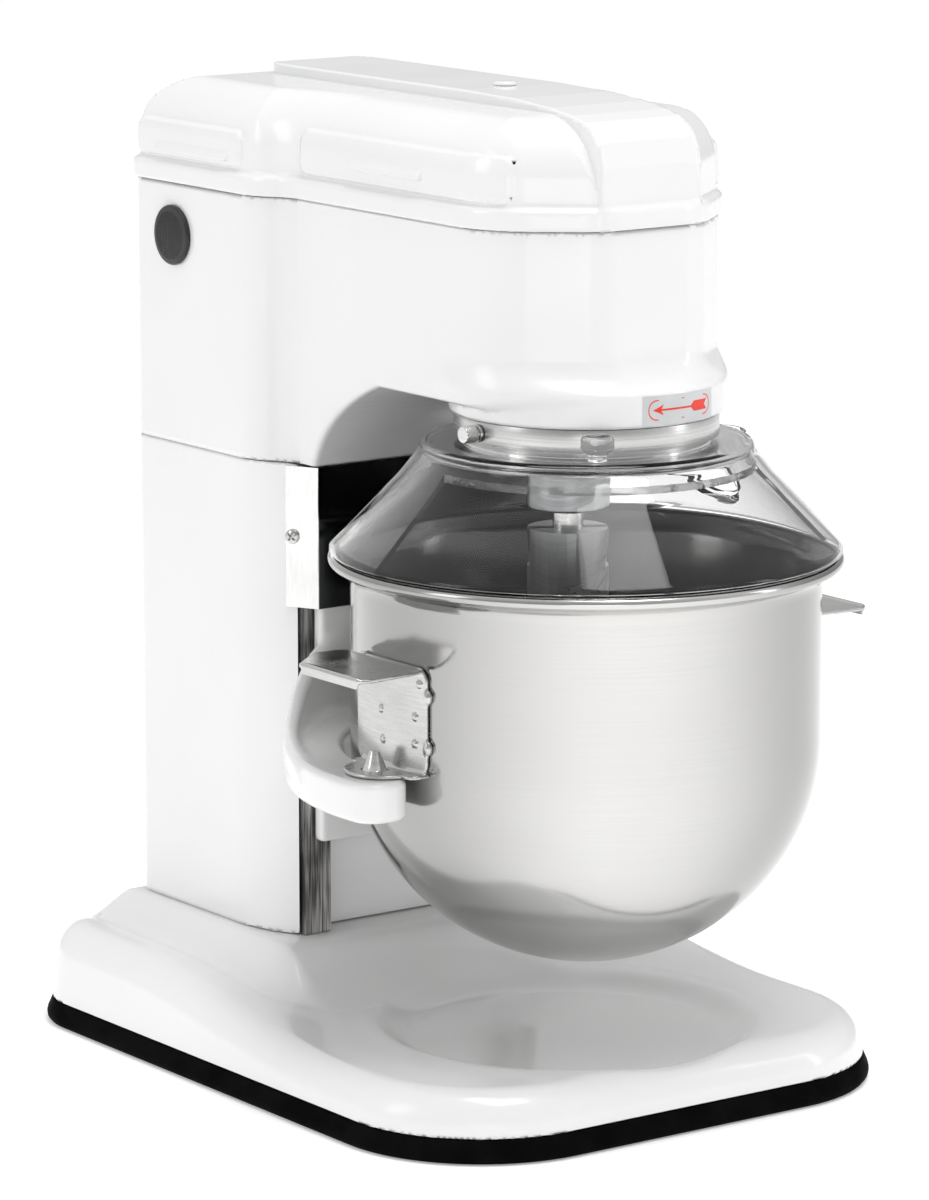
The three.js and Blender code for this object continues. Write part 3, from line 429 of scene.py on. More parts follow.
def corner_points(half: float, front: float, back: float, front_radius: float, back_radius: float,
                  steps: int = 20) -> list[tuple[float, float]]:
    """Outline of a footprint with two front corners and two rear corners, counterclockwise."""
    spots = [
        (half - front_radius, front + front_radius, front_radius, -90.0),
        (half - back_radius, back - back_radius, back_radius, 0.0),
        (-half + back_radius, back - back_radius, back_radius, 90.0),
        (-half + front_radius, front + front_radius, front_radius, 180.0),
    ]
    points = []
    for x, y, radius, start in spots:
        for t in np.linspace(0.0, 90.0, steps):
            angle = math.radians(start + t)
            points.append((x + radius * math.cos(angle), y + radius * math.sin(angle)))
    dense = []
    for (ax, ay), (bx, by) in zip(points, points[1:] + points[:1]):
        parts = max(int(math.hypot(bx - ax, by - ay) / 12.0), 1)
        dense += [(ax + (bx - ax) * k / parts, ay + (by - ay) * k / parts) for k in range(parts)]
    return dense


# ---------------------------------------------------------------- finishes


class Nodes:
    """Builds the node tree of one material or node group."""

    def __init__(self, tree: bpy.types.NodeTree) -> None:
        """Keeps the tree that nodes are added to."""
        self.tree = tree

    def add(self, kind: str, inputs: dict | None = None, **settings: object) -> bpy.types.Node:
        """Adds a node.

        Args:
            kind: The node's type.
            inputs: Value or output socket for each named or numbered input.
            **settings: The node's own properties.

        Returns:
            The node.
        """
        node = self.tree.nodes.new(kind)
        for key, value in settings.items():
            setattr(node, key, value)
        for key, value in (inputs or {}).items():
            if isinstance(value, bpy.types.NodeSocket):
                self.tree.links.new(value, node.inputs[key])
            else:
                node.inputs[key].default_value = value
        return node

    def math(self, operation: str, a: object, b: object = 0.0, clamp: bool = False) -> bpy.types.NodeSocket:
        """Output of a Math node."""
        return self.add("ShaderNodeMath", {0: a, 1: b}, operation=operation, use_clamp=clamp).outputs[0]

    def ranged(self, value: object, low: float, high: float, start: float, end: float) -> bpy.types.NodeSocket:
        """Output of a clamped Map Range node."""
        inputs = {"Value": value, "From Min": low, "From Max": high, "To Min": start, "To Max": end}
        return self.add("ShaderNodeMapRange", inputs).outputs["Result"]

    def mixed(self, factor: object, a: object, b: object) -> bpy.types.NodeSocket:
        """Output of a colour mix."""
        return self.add("ShaderNodeMix", {0: factor, 6: a, 7: b}, data_type="RGBA").outputs[2]

    def noise(self, vector: object, scale: object, detail: float = 3.0) -> bpy.types.NodeSocket:
        """Value of a noise texture."""
        inputs = {"Vector": vector, "Scale": scale, "Detail": detail}
        return self.add("ShaderNodeTexNoise", inputs).outputs[0]


def group_sockets(name: str, inputs: dict[str, float], outputs: Sequence[str]) -> tuple:
    """Starts a shader node group.

    Args:
        name: Name of the group.
        inputs: Default of each number that it takes.
        outputs: Names of the numbers that it gives.

    Returns:
        The tree, a node builder, the input node and the output node.
    """
    tree = bpy.data.node_groups.new(name, "ShaderNodeTree")
    tree.interface.new_socket("Vector", in_out="INPUT", socket_type="NodeSocketVector")
    for label, value in inputs.items():
        socket = tree.interface.new_socket(label, in_out="INPUT", socket_type="NodeSocketFloat")
        socket.default_value = value
    for label in outputs:
        tree.interface.new_socket(label, in_out="OUTPUT", socket_type="NodeSocketFloat")
    build = Nodes(tree)
    return tree, build, tree.nodes.new("NodeGroupInput"), tree.nodes.new("NodeGroupOutput")


@dataclass
class Effects:
    """The surface effects that several finishes share, each a node group made once."""

    made: dict[str, bpy.types.NodeTree] = field(default_factory=dict)

    def orange_peel(self) -> bpy.types.NodeTree:
        """Fine waviness of sprayed and cured powder, with a slow drift in gloss."""
        inputs = {"Scale": 600.0, "Drift": 14.0}
        tree, build, start, end = group_sockets("orange_peel", inputs, ["Height", "Gloss"])
        fine = build.noise(start.outputs["Vector"], start.outputs["Scale"], 2.0)
        slow = build.noise(start.outputs["Vector"], start.outputs["Drift"], 2.0)
        tree.links.new(fine, end.inputs["Height"])
        tree.links.new(slow, end.inputs["Gloss"])
        return tree

    def grain(self) -> bpy.types.NodeTree:
        """Speckle of moulded plastic and rubber."""
        tree, build, start, end = group_sockets("grain", {"Scale": 900.0}, ["Height", "Mask"])
        fine = build.noise(start.outputs["Vector"], start.outputs["Scale"], 4.0)
        broad = build.noise(start.outputs["Vector"], build.math("DIVIDE", start.outputs["Scale"], 24.0), 3.0)
        tree.links.new(fine, end.inputs["Height"])
        tree.links.new(broad, end.inputs["Mask"])
        return tree

    def brushed(self) -> bpy.types.NodeTree:
        """Parallel scratches left by an abrasive belt, longest along the axis with the smallest stretch."""
        inputs = {"Along X": 1.0, "Along Y": 1.0, "Along Z": 60.0, "Scale": 40.0}
        tree, build, start, end = group_sockets("brushed", inputs, ["Height", "Mask"])
        stretch = build.add(
            "ShaderNodeCombineXYZ",
            {axis: start.outputs[f"Along {axis}"] for axis in "XYZ"},
        ).outputs[0]
        vector = build.add(
            "ShaderNodeVectorMath", {0: start.outputs["Vector"], 1: stretch}, operation="MULTIPLY"
        ).outputs[0]
        lines = build.noise(vector, start.outputs["Scale"], 5.0)
        patches = build.noise(start.outputs["Vector"], 22.0, 2.0)
        tree.links.new(lines, end.inputs["Height"])
        tree.links.new(build.math("MULTIPLY", lines, patches), end.inputs["Mask"])
        return tree

    def spun(self) -> bpy.types.NodeTree:
        """Scratches that run round a vertical axis, as spinning and polishing leave them."""
        inputs = {"Axis X": 0.0, "Axis Y": AXIS_Y * MM, "Turns": 2.0, "Fine": 900.0}
        tree, build, start, end = group_sockets("spun", inputs, ["Height", "Mask"])
        parts = build.add("ShaderNodeSeparateXYZ", {0: start.outputs["Vector"]})
        x = build.math("SUBTRACT", parts.outputs[0], start.outputs["Axis X"])
        y = build.math("SUBTRACT", parts.outputs[1], start.outputs["Axis Y"])
        angle = build.math("ARCTAN2", y, x)
        squares = build.math("ADD", build.math("MULTIPLY", x, x), build.math("MULTIPLY", y, y))
        radius = build.math("SQRT", squares)
        vector = build.add(
            "ShaderNodeCombineXYZ",
            {
                0: build.math("MULTIPLY", build.math("COSINE", angle), start.outputs["Turns"]),
                1: build.math("MULTIPLY", build.math("SINE", angle), start.outputs["Turns"]),
                2: build.math("MULTIPLY", build.math("ADD", parts.outputs[2], radius), start.outputs["Fine"]),
            },
        ).outputs[0]
        lines = build.noise(vector, 1.0, 4.0)
        patches = build.noise(start.outputs["Vector"], 16.0, 2.0)
        tree.links.new(lines, end.inputs["Height"])
        tree.links.new(build.math("MULTIPLY", lines, patches), end.inputs["Mask"])
        return tree

    def place(self, build: Nodes, name: str, values: dict[str, float]) -> bpy.types.Node:
        """Places one of the effects in a material.

        Args:
            build: The material's node builder.
            name: Which effect.
            values: Its numbers.

        Returns:
            The group node.
        """
        if name not in self.made:
            self.made[name] = getattr(self, name)()
        node = build.add("ShaderNodeGroup")
        node.node_tree = self.made[name]
        where = build.add("ShaderNodeTexCoord").outputs["Object"]
        build.tree.links.new(where, node.inputs["Vector"])
        for key, value in values.items():
            node.inputs[key].default_value = value
        return node


EFFECTS = Effects()


@dataclass(frozen=True)
class Finish:
    """A surface finish: one shader with one shared effect that varies it.

    Attributes:
        name: Name of the material.
        slot: Material slot of the part's record; not used.
        light: Colour where the effect's mask is high.
        dark: Colour where it is low.
        rough: Lowest and highest roughness.
        metallic: 1 for bare metal.
        effect: Name of the shared effect.
        values: The effect's numbers.
        bump: Depth of the relief, in metres.
        mask: Lowest and highest mask value that the colours and roughness spread over.
        coat: Weight of the clear coat.
        transmission: 1 for clear plastic.
        ior: Index of refraction.
    """

    name: str
    slot: str
    light: tuple[float, float, float]
    dark: tuple[float, float, float]
    rough: tuple[float, float]
    effect: str
    values: tuple[tuple[str, float], ...] = ()
    metallic: float = 0.0
    bump: float = 0.00001
    mask: tuple[float, float] = (0.35, 0.65)
    coat: float = 0.0
    transmission: float = 0.0
    ior: float = 1.5

    def material(self) -> bpy.types.Material:
        """The Blender material, made at the first call."""
        name = f"{self.name}_finish"
        found = bpy.data.materials.get(name)
        if found:
            return found
        made = bpy.data.materials.new(name)
        made.use_nodes = True
        made.node_tree.nodes.clear()
        build = Nodes(made.node_tree)
        effect = EFFECTS.place(build, self.effect, dict(self.values))
        mask = effect.outputs[1]
        share = build.ranged(mask, self.mask[0], self.mask[1], 0.0, 1.0)
        colour = build.mixed(share, (*self.dark, 1.0), (*self.light, 1.0))
        rough = build.ranged(mask, self.mask[0], self.mask[1], self.rough[1], self.rough[0])
        bump = build.add(
            "ShaderNodeBump",
            {"Strength": 1.0, "Distance": self.bump, "Height": effect.outputs[0]},
        ).outputs[0]
        shader = build.add(
            "ShaderNodeBsdfPrincipled",
            {
                "Base Color": self.tint(build, colour),
                "Roughness": rough,
                "Metallic": self.metallic,
                "Normal": bump,
                "IOR": self.ior,
                "Coat Weight": self.coat,
                "Coat Roughness": 0.06,
                "Transmission Weight": self.transmission,
            },
        )
        build.add("ShaderNodeOutputMaterial", {"Surface": shader.outputs[0]})
        return made

    def tint(self, build: Nodes, colour: bpy.types.NodeSocket) -> bpy.types.NodeSocket:
        """The colour that reaches the shader."""
        return colour


@dataclass(frozen=True)
class DarkFrontPaintedFinish(Finish):
    """Brushed sheet whose forward face carries a painted dark reflection, while its sides keep the brushed
    colour.
    """

    def tint(self, build: Nodes, colour: bpy.types.NodeSocket) -> bpy.types.NodeSocket:
        """Paints a dark reflection where the sheet faces forward."""
        normal = build.add("ShaderNodeNewGeometry").outputs["True Normal"]
        forward = build.add("ShaderNodeSeparateXYZ", {0: normal}).outputs[1]
        share = build.ranged(forward, -0.97, -0.9, 1.0, 0.0)
        # Painted dark reflection: near black wherever the true normal points forward.
        return build.mixed(share, colour, (0.035, 0.036, 0.038, 1.0))


@dataclass(frozen=True)
class BowlPaintedLightFinish(Finish):
    """Spun sheet with painted highlight bands round its outside and painted shade on its inside.

    Attributes:
        bands: Number of painted highlight bands.
        first: Angle round the bowl of one painted highlight band's middle, in radians.
        between: Colour between two painted highlight bands.
        inside: Painted shade colour of the inside.
    """

    bands: float = 3.0
    first: float = -math.radians(118.0)
    # Colour between the painted highlight bands.
    between: tuple = (0.36, 0.358, 0.352)
    # Painted shade colour of the bowl's inside.
    inside: tuple = (0.12, 0.12, 0.118)

    def tint(self, build: Nodes, colour: bpy.types.NodeSocket) -> bpy.types.NodeSocket:
        """Paints shade where the surface faces the bowl's axis, and highlight bands by angle round the outside.
        """
        surface = build.add("ShaderNodeNewGeometry")
        away = build.add(
            "ShaderNodeVectorMath",
            {0: surface.outputs["Position"], 1: (0.0, AXIS_Y * MM, 0.0)},
            operation="SUBTRACT",
        ).outputs[0]
        flat = build.add("ShaderNodeVectorMath", {0: away, 1: (1.0, 1.0, 0.0)}, operation="MULTIPLY").outputs[0]
        facing = build.add(
            "ShaderNodeVectorMath", {0: flat, 1: surface.outputs["True Normal"]}, operation="DOT_PRODUCT"
        ).outputs["Value"]
        # Painted shade: the colour turns to the dark inside colour where the surface faces the axis.
        share = build.ranged(facing, -0.03, -0.004, 1.0, 0.0)
        parts = build.add("ShaderNodeSeparateXYZ", {0: away})
        # Painted highlights: bright bands by angle round the axis, with the between colour elsewhere.
        turn = build.math("ARCTAN2", parts.outputs[1], parts.outputs[0])
        past = build.math("SUBTRACT", turn, self.first)
        wave = build.math("COSINE", build.math("MULTIPLY", past, self.bands))
        band = build.ranged(wave, -1.0, 1.0, 0.0, 1.0)
        outside = build.mixed(band, (*self.between, 1.0), colour)
        return build.mixed(share, outside, (*self.inside, 1.0))


class Finishes:
    """Every finish of the mixer."""

    WHITE = Finish("white_powder_coat", "white_powder_coat", (0.87, 0.875, 0.87), (0.85, 0.857, 0.852),
                   (0.2, 0.27), "orange_peel", (("Scale", 420.0), ("Drift", 12.0)), bump=0.000012, coat=0.5)
    RUBBER = Finish("black_rubber", "black_rubber", (0.005, 0.005, 0.0055), (0.003, 0.003, 0.003), (0.5, 0.6),
                    "grain", (("Scale", 1400.0),), bump=0.00002, ior=1.05)
    # Spun stainless with painted highlight bands outside and painted shade inside.
    BOWL = BowlPaintedLightFinish("spun_stainless", "polished_stainless", (0.66, 0.655, 0.642), (0.63, 0.625, 0.615),
                      (0.12, 0.17), "spun", (("Turns", 1.4), ("Fine", 1500.0)), metallic=1.0,
                      bump=0.0000008, mask=(0.12, 0.36))
    SATIN = Finish("satin_stainless", "polished_stainless", (0.6, 0.6, 0.59), (0.52, 0.52, 0.515), (0.2, 0.3),
                   "brushed", (("Along Z", 14.0), ("Scale", 60.0)), metallic=1.0, bump=0.000003,
                   mask=(0.12, 0.36))
    STAINLESS = Finish("polished_stainless", "polished_stainless", (0.72, 0.72, 0.71), (0.6, 0.6, 0.595),
                       (0.1, 0.2), "brushed", (("Along Z", 14.0), ("Scale", 60.0)), metallic=1.0,
                       bump=0.000003, mask=(0.12, 0.36))
    # Brushed stainless with a painted dark reflection on its forward face.
    PAINTED_DARK_FRONT = DarkFrontPaintedFinish("stainless_painted_dark_front", "stainless", (0.82, 0.82, 0.81), (0.72, 0.72, 0.71), (0.1, 0.18),
                          "brushed", (("Along X", 8.0), ("Along Y", 8.0), ("Along Z", 1.0), ("Scale", 120.0)),
                          metallic=1.0, bump=0.000003, mask=(0.12, 0.36))
    RING = Finish("turned_stainless", "stainless", (0.7, 0.7, 0.69), (0.5, 0.5, 0.5), (0.2, 0.32),
                  "spun", (("Turns", 0.6), ("Fine", 2600.0)), metallic=1.0, bump=0.000006, mask=(0.1, 0.38))
    MACHINED = Finish("machined_steel", "machined_steel", (0.48, 0.47, 0.46), (0.07, 0.068, 0.065), (0.28, 0.5),
                      "brushed", (("Along X", 60.0), ("Along Y", 60.0), ("Along Z", 1.6), ("Scale", 18.0)),
                      metallic=1.0, bump=0.00005, mask=(0.17, 0.33))
    STEEL = Finish("plated_steel", "steel", (0.62, 0.62, 0.61), (0.42, 0.42, 0.42), (0.18, 0.32),
                   "brushed", (("Along Z", 20.0), ("Scale", 50.0)), metallic=1.0, bump=0.000005,
                   mask=(0.12, 0.36))
    ALUMINIUM = Finish("machined_aluminium", "aluminium", (0.5, 0.505, 0.51), (0.34, 0.345, 0.35), (0.25, 0.4),
                       "spun", (("Turns", 0.8), ("Fine", 1800.0)), metallic=1.0, bump=0.000006,
                       mask=(0.1, 0.38))
    COPPER = Finish("copper_winding", "copper_winding", (0.62, 0.27, 0.13), (0.4, 0.16, 0.08), (0.28, 0.4),
                    "brushed", (("Along Z", 0.4), ("Scale", 160.0)), metallic=1.0, bump=0.00005,
                    mask=(0.12, 0.36))
    CLEAR = Finish("clear_polycarbonate", "clear_polycarbonate", (0.99, 0.99, 0.99), (0.98, 0.98, 0.98),
                   (0.0, 0.01), "orange_peel", (("Scale", 90.0),), bump=0.000001, transmission=1.0, ior=1.3)
    BLACK = Finish("black_plastic", "black_plastic", (0.022, 0.022, 0.024), (0.012, 0.012, 0.013), (0.32, 0.46),
                   "grain", (("Scale", 1100.0),), bump=0.000025)
    GREEN = Finish("green_plastic", "green_plastic", (0.03, 0.34, 0.1), (0.022, 0.28, 0.08), (0.22, 0.34),
                   "grain", (("Scale", 1100.0),), bump=0.00001)
    RED = Finish("red_plastic", "red_plastic", (0.62, 0.03, 0.025), (0.52, 0.022, 0.02), (0.22, 0.34),
                 "grain", (("Scale", 1100.0),), bump=0.00001)
    LABEL = Finish("label_film", "aluminium", (0.66, 0.67, 0.68), (0.6, 0.61, 0.62), (0.3, 0.4),
                   "grain", (("Scale", 1600.0),), bump=0.000004)
    PRINT = Finish("red_print", "red_plastic", (0.86, 0.035, 0.012), (0.8, 0.03, 0.012), (0.3, 0.4),
                   "grain", (("Scale", 1600.0),), bump=0.000002)


def install(piece: bpy.types.Object, finish: Finish, body: str, *nodes: str) -> bpy.types.Object:
    """Gives a new piece its finish, its body and the nodes that it stands for.

    Args:
        piece: The new piece.
        finish: What it is made of.
        body: The body that it moves with.
        *nodes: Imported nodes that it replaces.

    Returns:
        The piece.
    """
    piece.data.materials.clear()
    piece.data.materials.append(finish.material())
    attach(piece, body)
    if nodes:
        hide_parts(*nodes)
    LOG.info("%s rides on %s", piece.name, body)
    return piece


def dress(node: bpy.types.Object, finish: Finish, bevel: float = 0.0005) -> None:
    """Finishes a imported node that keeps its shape.

    Args:
        node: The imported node's object.
        finish: What it is made of.
        bevel: Width of the small chamfer that its edges get, in metres.
    """
    node.data.materials.clear()
    node.data.materials.append(finish.material())
    if bevel:
        change = node.modifiers.new("edges", "BEVEL")
        change.width = bevel
        change.segments = 2
        change.limit_method = "ANGLE"
        change.angle_limit = math.radians(38.0)
        change.harden_normals = False
    LOG.info("%s keeps its shape", node.name)


# ---------------------------------------------------------------- the body's castings


@dataclass
class Plan:
    """Widths and lines in plan that the base, the column, the head and the cover share."""

    half: float = 85.2
    back: float = 272.0
    back_radius: float = 10.0
    head_half: float = 72.5
    nose_half: float = 29.4
    nose: float = -50.7
    cheek: float = -15.4
    side_end: float = 146.2
    block_start: float = 162.3
    rail_front: float = 137.1
    column_front: float = 149.3
    front_wall: float = 7.0
    column_back_wall: float = 265.0
    inner: float = 78.2
    fin: float = 72.8

    def head(self, x: np.ndarray, y: np.ndarray, inset: float = 0.0) -> np.ndarray:
        """Signed distance in plan to the head's outline, drawn in by inset."""
        across = np.abs(x)
        cut = -facet(across, y, (self.head_half, self.cheek), (self.nose_half, self.nose))
        front = round_max(cut, self.nose - y, 6.0)
        narrow = round_max(front, across - self.head_half, 16.0)
        shoulder = -facet(across, y, (self.half, self.block_start), (self.head_half, self.side_end))
        wide = round_max(shoulder, across - self.half, 6.0)
        plan = round_min(narrow, wide, 6.0)
        return round_max(plan, y - self.back, self.back_radius) + inset

    def column(self, x: np.ndarray, y: np.ndarray) -> np.ndarray:
        """Signed distance in plan to the column's outline."""
        across = np.abs(x)
        cut = -facet(across, y, (self.half, self.rail_front + 20.5), (self.fin, self.rail_front + 0.3))
        body = round_max(across - self.half, y - self.back, self.back_radius)
        body = round_max(body, cut, 9.0)
        body = np.maximum(body, self.rail_front + 0.3 - y)
        pocket = np.maximum(across - self.fin, y - self.column_front)
        return without(body, pocket, 0.6)

    def well(self, x: np.ndarray, y: np.ndarray) -> np.ndarray:
        """Signed distance in plan to the hollow that runs up through the column and the head."""
        depth = span(y, self.column_front + self.front_wall, self.column_back_wall)
        return round_max(np.abs(x) - self.inner, depth, 5.0)


@dataclass
class Base:
    """The base casting with its dish and plinth, and the rubber trim under it."""

    plan: Plan
    half: float = 149.6
    front: float = -89.9
    back: float = 292.0
    front_radius: float = 78.6
    back_radius: float = 45.0
    flare: float = 3.1
    bottom: float = 12.3
    foot: float = 61.0
    deck: float = 33.5
    ridge: float = 17.5
    edge: float = 15.0
    dish_centre: float = 14.0
    dish_radius: float = 90.0
    dish_depth: float = 7.0
    wall: float = 6.0

    def footprint(self, x: np.ndarray, y: np.ndarray, inset: float) -> np.ndarray:
        """Signed distance in plan to the footprint, drawn in by inset."""
        middle = 0.5 * (self.front + self.back)
        radius = np.where(y < middle, self.front_radius, self.back_radius)
        qx = np.abs(x) - self.half + radius
        qy = np.abs(y - middle) - 0.5 * (self.back - self.front) + radius
        outside = np.hypot(np.maximum(qx, 0.0), np.maximum(qy, 0.0))
        return np.minimum(np.maximum(qx, qy), 0.0) + outside - radius + inset

    def top(self, x: np.ndarray, y: np.ndarray) -> np.ndarray:
        """Height of the casting's upper surface."""
        across = np.abs(x)
        rise = smooth(20.0, 205.0, y) * smooth(62.0, 128.0, across)
        rise = np.maximum(rise, smooth(262.0, 284.0, y))
        level = self.deck + self.ridge * rise
        away_x = np.maximum(across - self.plan.half - 2.0, 0.0)
        away_front = np.maximum(self.plan.rail_front - 1.0 - y, 0.0) * 0.52
        away_back = np.maximum(y - self.plan.back - 1.0, 0.0)
        away = np.sqrt(away_x**2 + away_front**2 + away_back**2)
        plinth = 1.0 - smooth(1.0, 27.0, away)
        height = level + (self.foot - level) * plinth
        reach = np.hypot(x, y - self.dish_centre)
        dish = 1.0 - smooth(self.dish_radius - 13.0, self.dish_radius + 6.0, reach)
        lip = np.exp(-(((reach - self.dish_radius - 7.0) / 7.0) ** 2))
        return height - self.dish_depth * dish + 0.8 * lip

    def casting(self, x: np.ndarray, y: np.ndarray, z: np.ndarray) -> np.ndarray:
        """Field of the base casting."""
        wall = self.footprint(x, y, self.flare) + 0.085 * (z - self.bottom)
        body = round_max(wall, (z - self.top(x, y)) * 0.94, self.edge)
        hollow = body + self.wall
        return np.maximum(round_max(body, self.bottom - z, 0.8), -hollow)

    def build(self) -> None:
        """Makes the casting and the trim."""
        low = (-self.half, self.front, 8.0)
        high = (self.half, self.back, 64.0)
        install(cast("base_shell", self.casting, low, high, 2.0), Finishes.WHITE, "machine", "base_casting")
        outline = corner_points(self.half, self.front, self.back, self.front_radius, self.back_radius)
        section = [(-13.0, 0.4), (-12.4, 0.0), (-4.5, 0.0), (-1.6, 0.8), (-0.3, 2.4), (0.0, 4.4), (-0.4, 6.4),
                   (-1.6, 9.0), (-2.4, 11.0), (-2.9, 11.9), (-3.6, 12.0), (-12.6, 12.0), (-13.0, 11.6)]
        trim = swept_ring("rubber_edge", outline, section)
        install(trim, Finishes.RUBBER, "machine", "base_rubber_trim")


@dataclass
class Column:
    """The column casting."""

    plan: Plan
    bottom: float = 61.3
    top: float = 301.0
    window_half: float = 15.0
    window_span: tuple = (108.2, 222.8)
    lever_at: tuple = (172.1, 150.1)
    lever_hole: float = 8.6
    gland_z: float = 101.3
    gland_hole: float = 6.6

    def casting(self, x: np.ndarray, y: np.ndarray, z: np.ndarray) -> np.ndarray:
        """Field of the column casting, with its well, its rack window and its holes."""
        body = round_max(self.plan.column(x, y), span(z, self.bottom, self.top), 0.25)
        body = np.maximum(body, -self.plan.well(x, y))
        window = np.maximum(np.abs(x) - self.window_half, span(z, *self.window_span))
        window = np.maximum(window, y - self.plan.column_front - 12.0)
        body = without(body, window, 0.6)
        lever = np.maximum(tube_along_x(y, z, self.lever_at, self.lever_hole), -x)
        body = without(body, lever, 0.6)
        gland = np.maximum(np.hypot(x, z - self.gland_z) - self.gland_hole, 240.0 - y)
        return without(body, gland, 0.6)

    def build(self) -> None:
        """Makes the casting."""
        low = (-self.plan.half, self.plan.rail_front, self.bottom)
        high = (self.plan.half, self.plan.back, self.top)
        shell = cast("column_shell", self.casting, low, high, 2.0)
        install(shell, Finishes.WHITE, "machine", "column_casting")


@dataclass
class Head:
    """The head casting with its throat arch and round collar."""

    plan: Plan
    bottom: float = 301.3
    top: float = 433.0
    throat: float = 348.0
    arch: tuple = ((127.6, 301.3), (119.6, 330.0), (73.6, 348.0))
    collar_radius: float = 66.5
    collar_bottom: float = 340.6
    collar_top: float = 358.0
    wall: float = 6.5
    floor: float = 355.3
    pocket_radius: float = 60.4
    pocket_span: tuple = (330.0, 350.3)
    bore_radius: float = 24.0
    cap_at: tuple = (231.8, 407.0)
    knob_at: tuple = (215.0, 395.3)
    buttons_at: tuple = ((199.0, 351.3), (231.0, 351.3))
    label_turn: float = -84.0
    label_z: float = 349.1

    def profile(self) -> Points:
        """Side view of the head: the arch, the underside and far corners outside the casting."""
        (ax, az), (bx, bz), (cx, cz) = self.arch
        curve = [
            (
                (1 - t) ** 2 * ax + 2 * t * (1 - t) * bx + t * t * cx,
                (1 - t) ** 2 * az + 2 * t * (1 - t) * bz + t * t * cz,
            )
            for t in np.linspace(0.0, 1.0, 14)
        ]
        far = [(-120.0, self.throat), (-120.0, 520.0), (330.0, 520.0), (330.0, 280.0), (self.arch[0][0], 280.0)]
        return [*curve, *far]

    def casting(self, x: np.ndarray, y: np.ndarray, z: np.ndarray) -> np.ndarray:
        """Field of the head casting, with its cavities and holes."""
        plan = self.plan.head(x, y)
        body = round_max(plan, polygon(y, z, self.profile()), 3.0)
        body = round_max(body, span(z, self.bottom, self.top), 0.25)
        reach = np.hypot(x, y)
        collar = round_max(reach - self.collar_radius, span(z, self.collar_bottom, self.collar_top), 2.2)
        fillet = 2.0 + 13.0 * smooth(346.0, 356.0, z)
        body = round_min(body, collar, fillet)
        nose = np.maximum(plan + self.wall, self.floor - z)
        well = self.plan.well(x, y)
        pocket = np.maximum(reach - self.pocket_radius, z - self.pocket_span[1])
        pocket = np.maximum(pocket, self.pocket_span[0] - z)
        bore = np.maximum(reach - self.bore_radius, span(z, 335.0, 360.0))
        body = np.maximum(body, -np.minimum(np.minimum(nose, well), np.minimum(pocket, bore)))
        left = np.maximum(tube_along_x(y, z, self.cap_at, 10.4), x)
        knob = np.maximum(tube_along_x(y, z, self.knob_at, 6.4), -x)
        start, stop = (tube_along_x(y, z, at, 9.4) for at in self.buttons_at)
        buttons = np.maximum(np.minimum(start, stop), -x)
        return without(body, np.minimum(np.minimum(left, knob), buttons), 0.5)

    def build(self) -> None:
        """Makes the casting and the direction label on its collar."""
        low = (-self.plan.half, -self.collar_radius - 0.5, self.bottom)
        high = (self.plan.half, self.plan.back, self.top)
        shell = cast("head_shell", self.casting, low, high, 2.05)
        install(shell, Finishes.WHITE, "machine", "head_casting")
        self.build_label()

    def wrapped(self, name: str, shapes: Sequence[Points], lift: float) -> bpy.types.Object:
        """Thin flat shapes bent round the collar.

        Args:
            name: Name of the object.
            shapes: Convex outlines in millimetres, measured along the collar and up from the label's middle.
            lift: Height of the outer face above the collar.

        Returns:
            The new object.
        """
        co, faces = [], []
        for shape in shapes:
            start = len(co)
            for depth in (0.02, lift):
                for across, up in shape:
                    angle = math.radians(self.label_turn) + across / self.collar_radius
                    radius = self.collar_radius + depth
                    co.append((radius * math.cos(angle), radius * math.sin(angle), self.label_z + up))
            many = len(shape)
            faces.append(list(range(start + many - 1, start - 1, -1)))
            faces.append(list(range(start + many, start + 2 * many)))
            for i in range(many):
                j = (i + 1) % many
                faces.append([start + i, start + j, start + many + j, start + many + i])
        made = mesh_object(name, np.array(co), faces, shaded=False)
        tidy(made)
        return made

    def build_label(self) -> None:
        """Makes the label film and its printed arrow, which says which way the tool turns."""
        columns = [-23.0 + 46.0 * k / 24 for k in range(25)]
        film = [[(a, -6.9), (b, -6.9), (b, 6.9), (a, 6.9)] for a, b in zip(columns, columns[1:])]
        install(self.wrapped("direction_label", film, 0.12), Finishes.LABEL, "machine")
        ring = corner_points(20.0, -4.9, 4.9, 4.6, 4.6, 8)
        prints = []
        for a, b in zip(ring, ring[1:] + ring[:1]):
            pull = [(p[0] * 0.978, p[1] * 0.9) for p in (a, b)]
            prints.append([a, b, pull[1], pull[0]])
        cuts = [-17.0, -14.0, -11.0, -8.0, -5.0, -2.0, 1.0, 4.0, 7.0]
        prints += [[(a, -0.45), (b, -0.45), (b, 0.45), (a, 0.45)] for a, b in zip(cuts, cuts[1:])]
        prints += [[(-17.4, 0.0), (-11.6, -2.6), (-13.2, -0.2)], [(-17.4, 0.0), (-13.2, 0.2), (-11.6, 2.6)]]
        prints += [
            [(5.0, 0.0), (7.6, -2.5), (7.6, 2.5)],
            [(7.6, -2.5), (12.0, -2.5), (12.0, 2.5), (7.6, 2.5)],
            [(12.0, -2.5), (17.6, -2.5), (15.6, 0.0), (12.0, 0.0)],
            [(12.0, 0.0), (15.6, 0.0), (17.6, 2.5), (12.0, 2.5)],
        ]
        install(self.wrapped("direction_print", prints, 0.2), Finishes.PRINT, "machine")


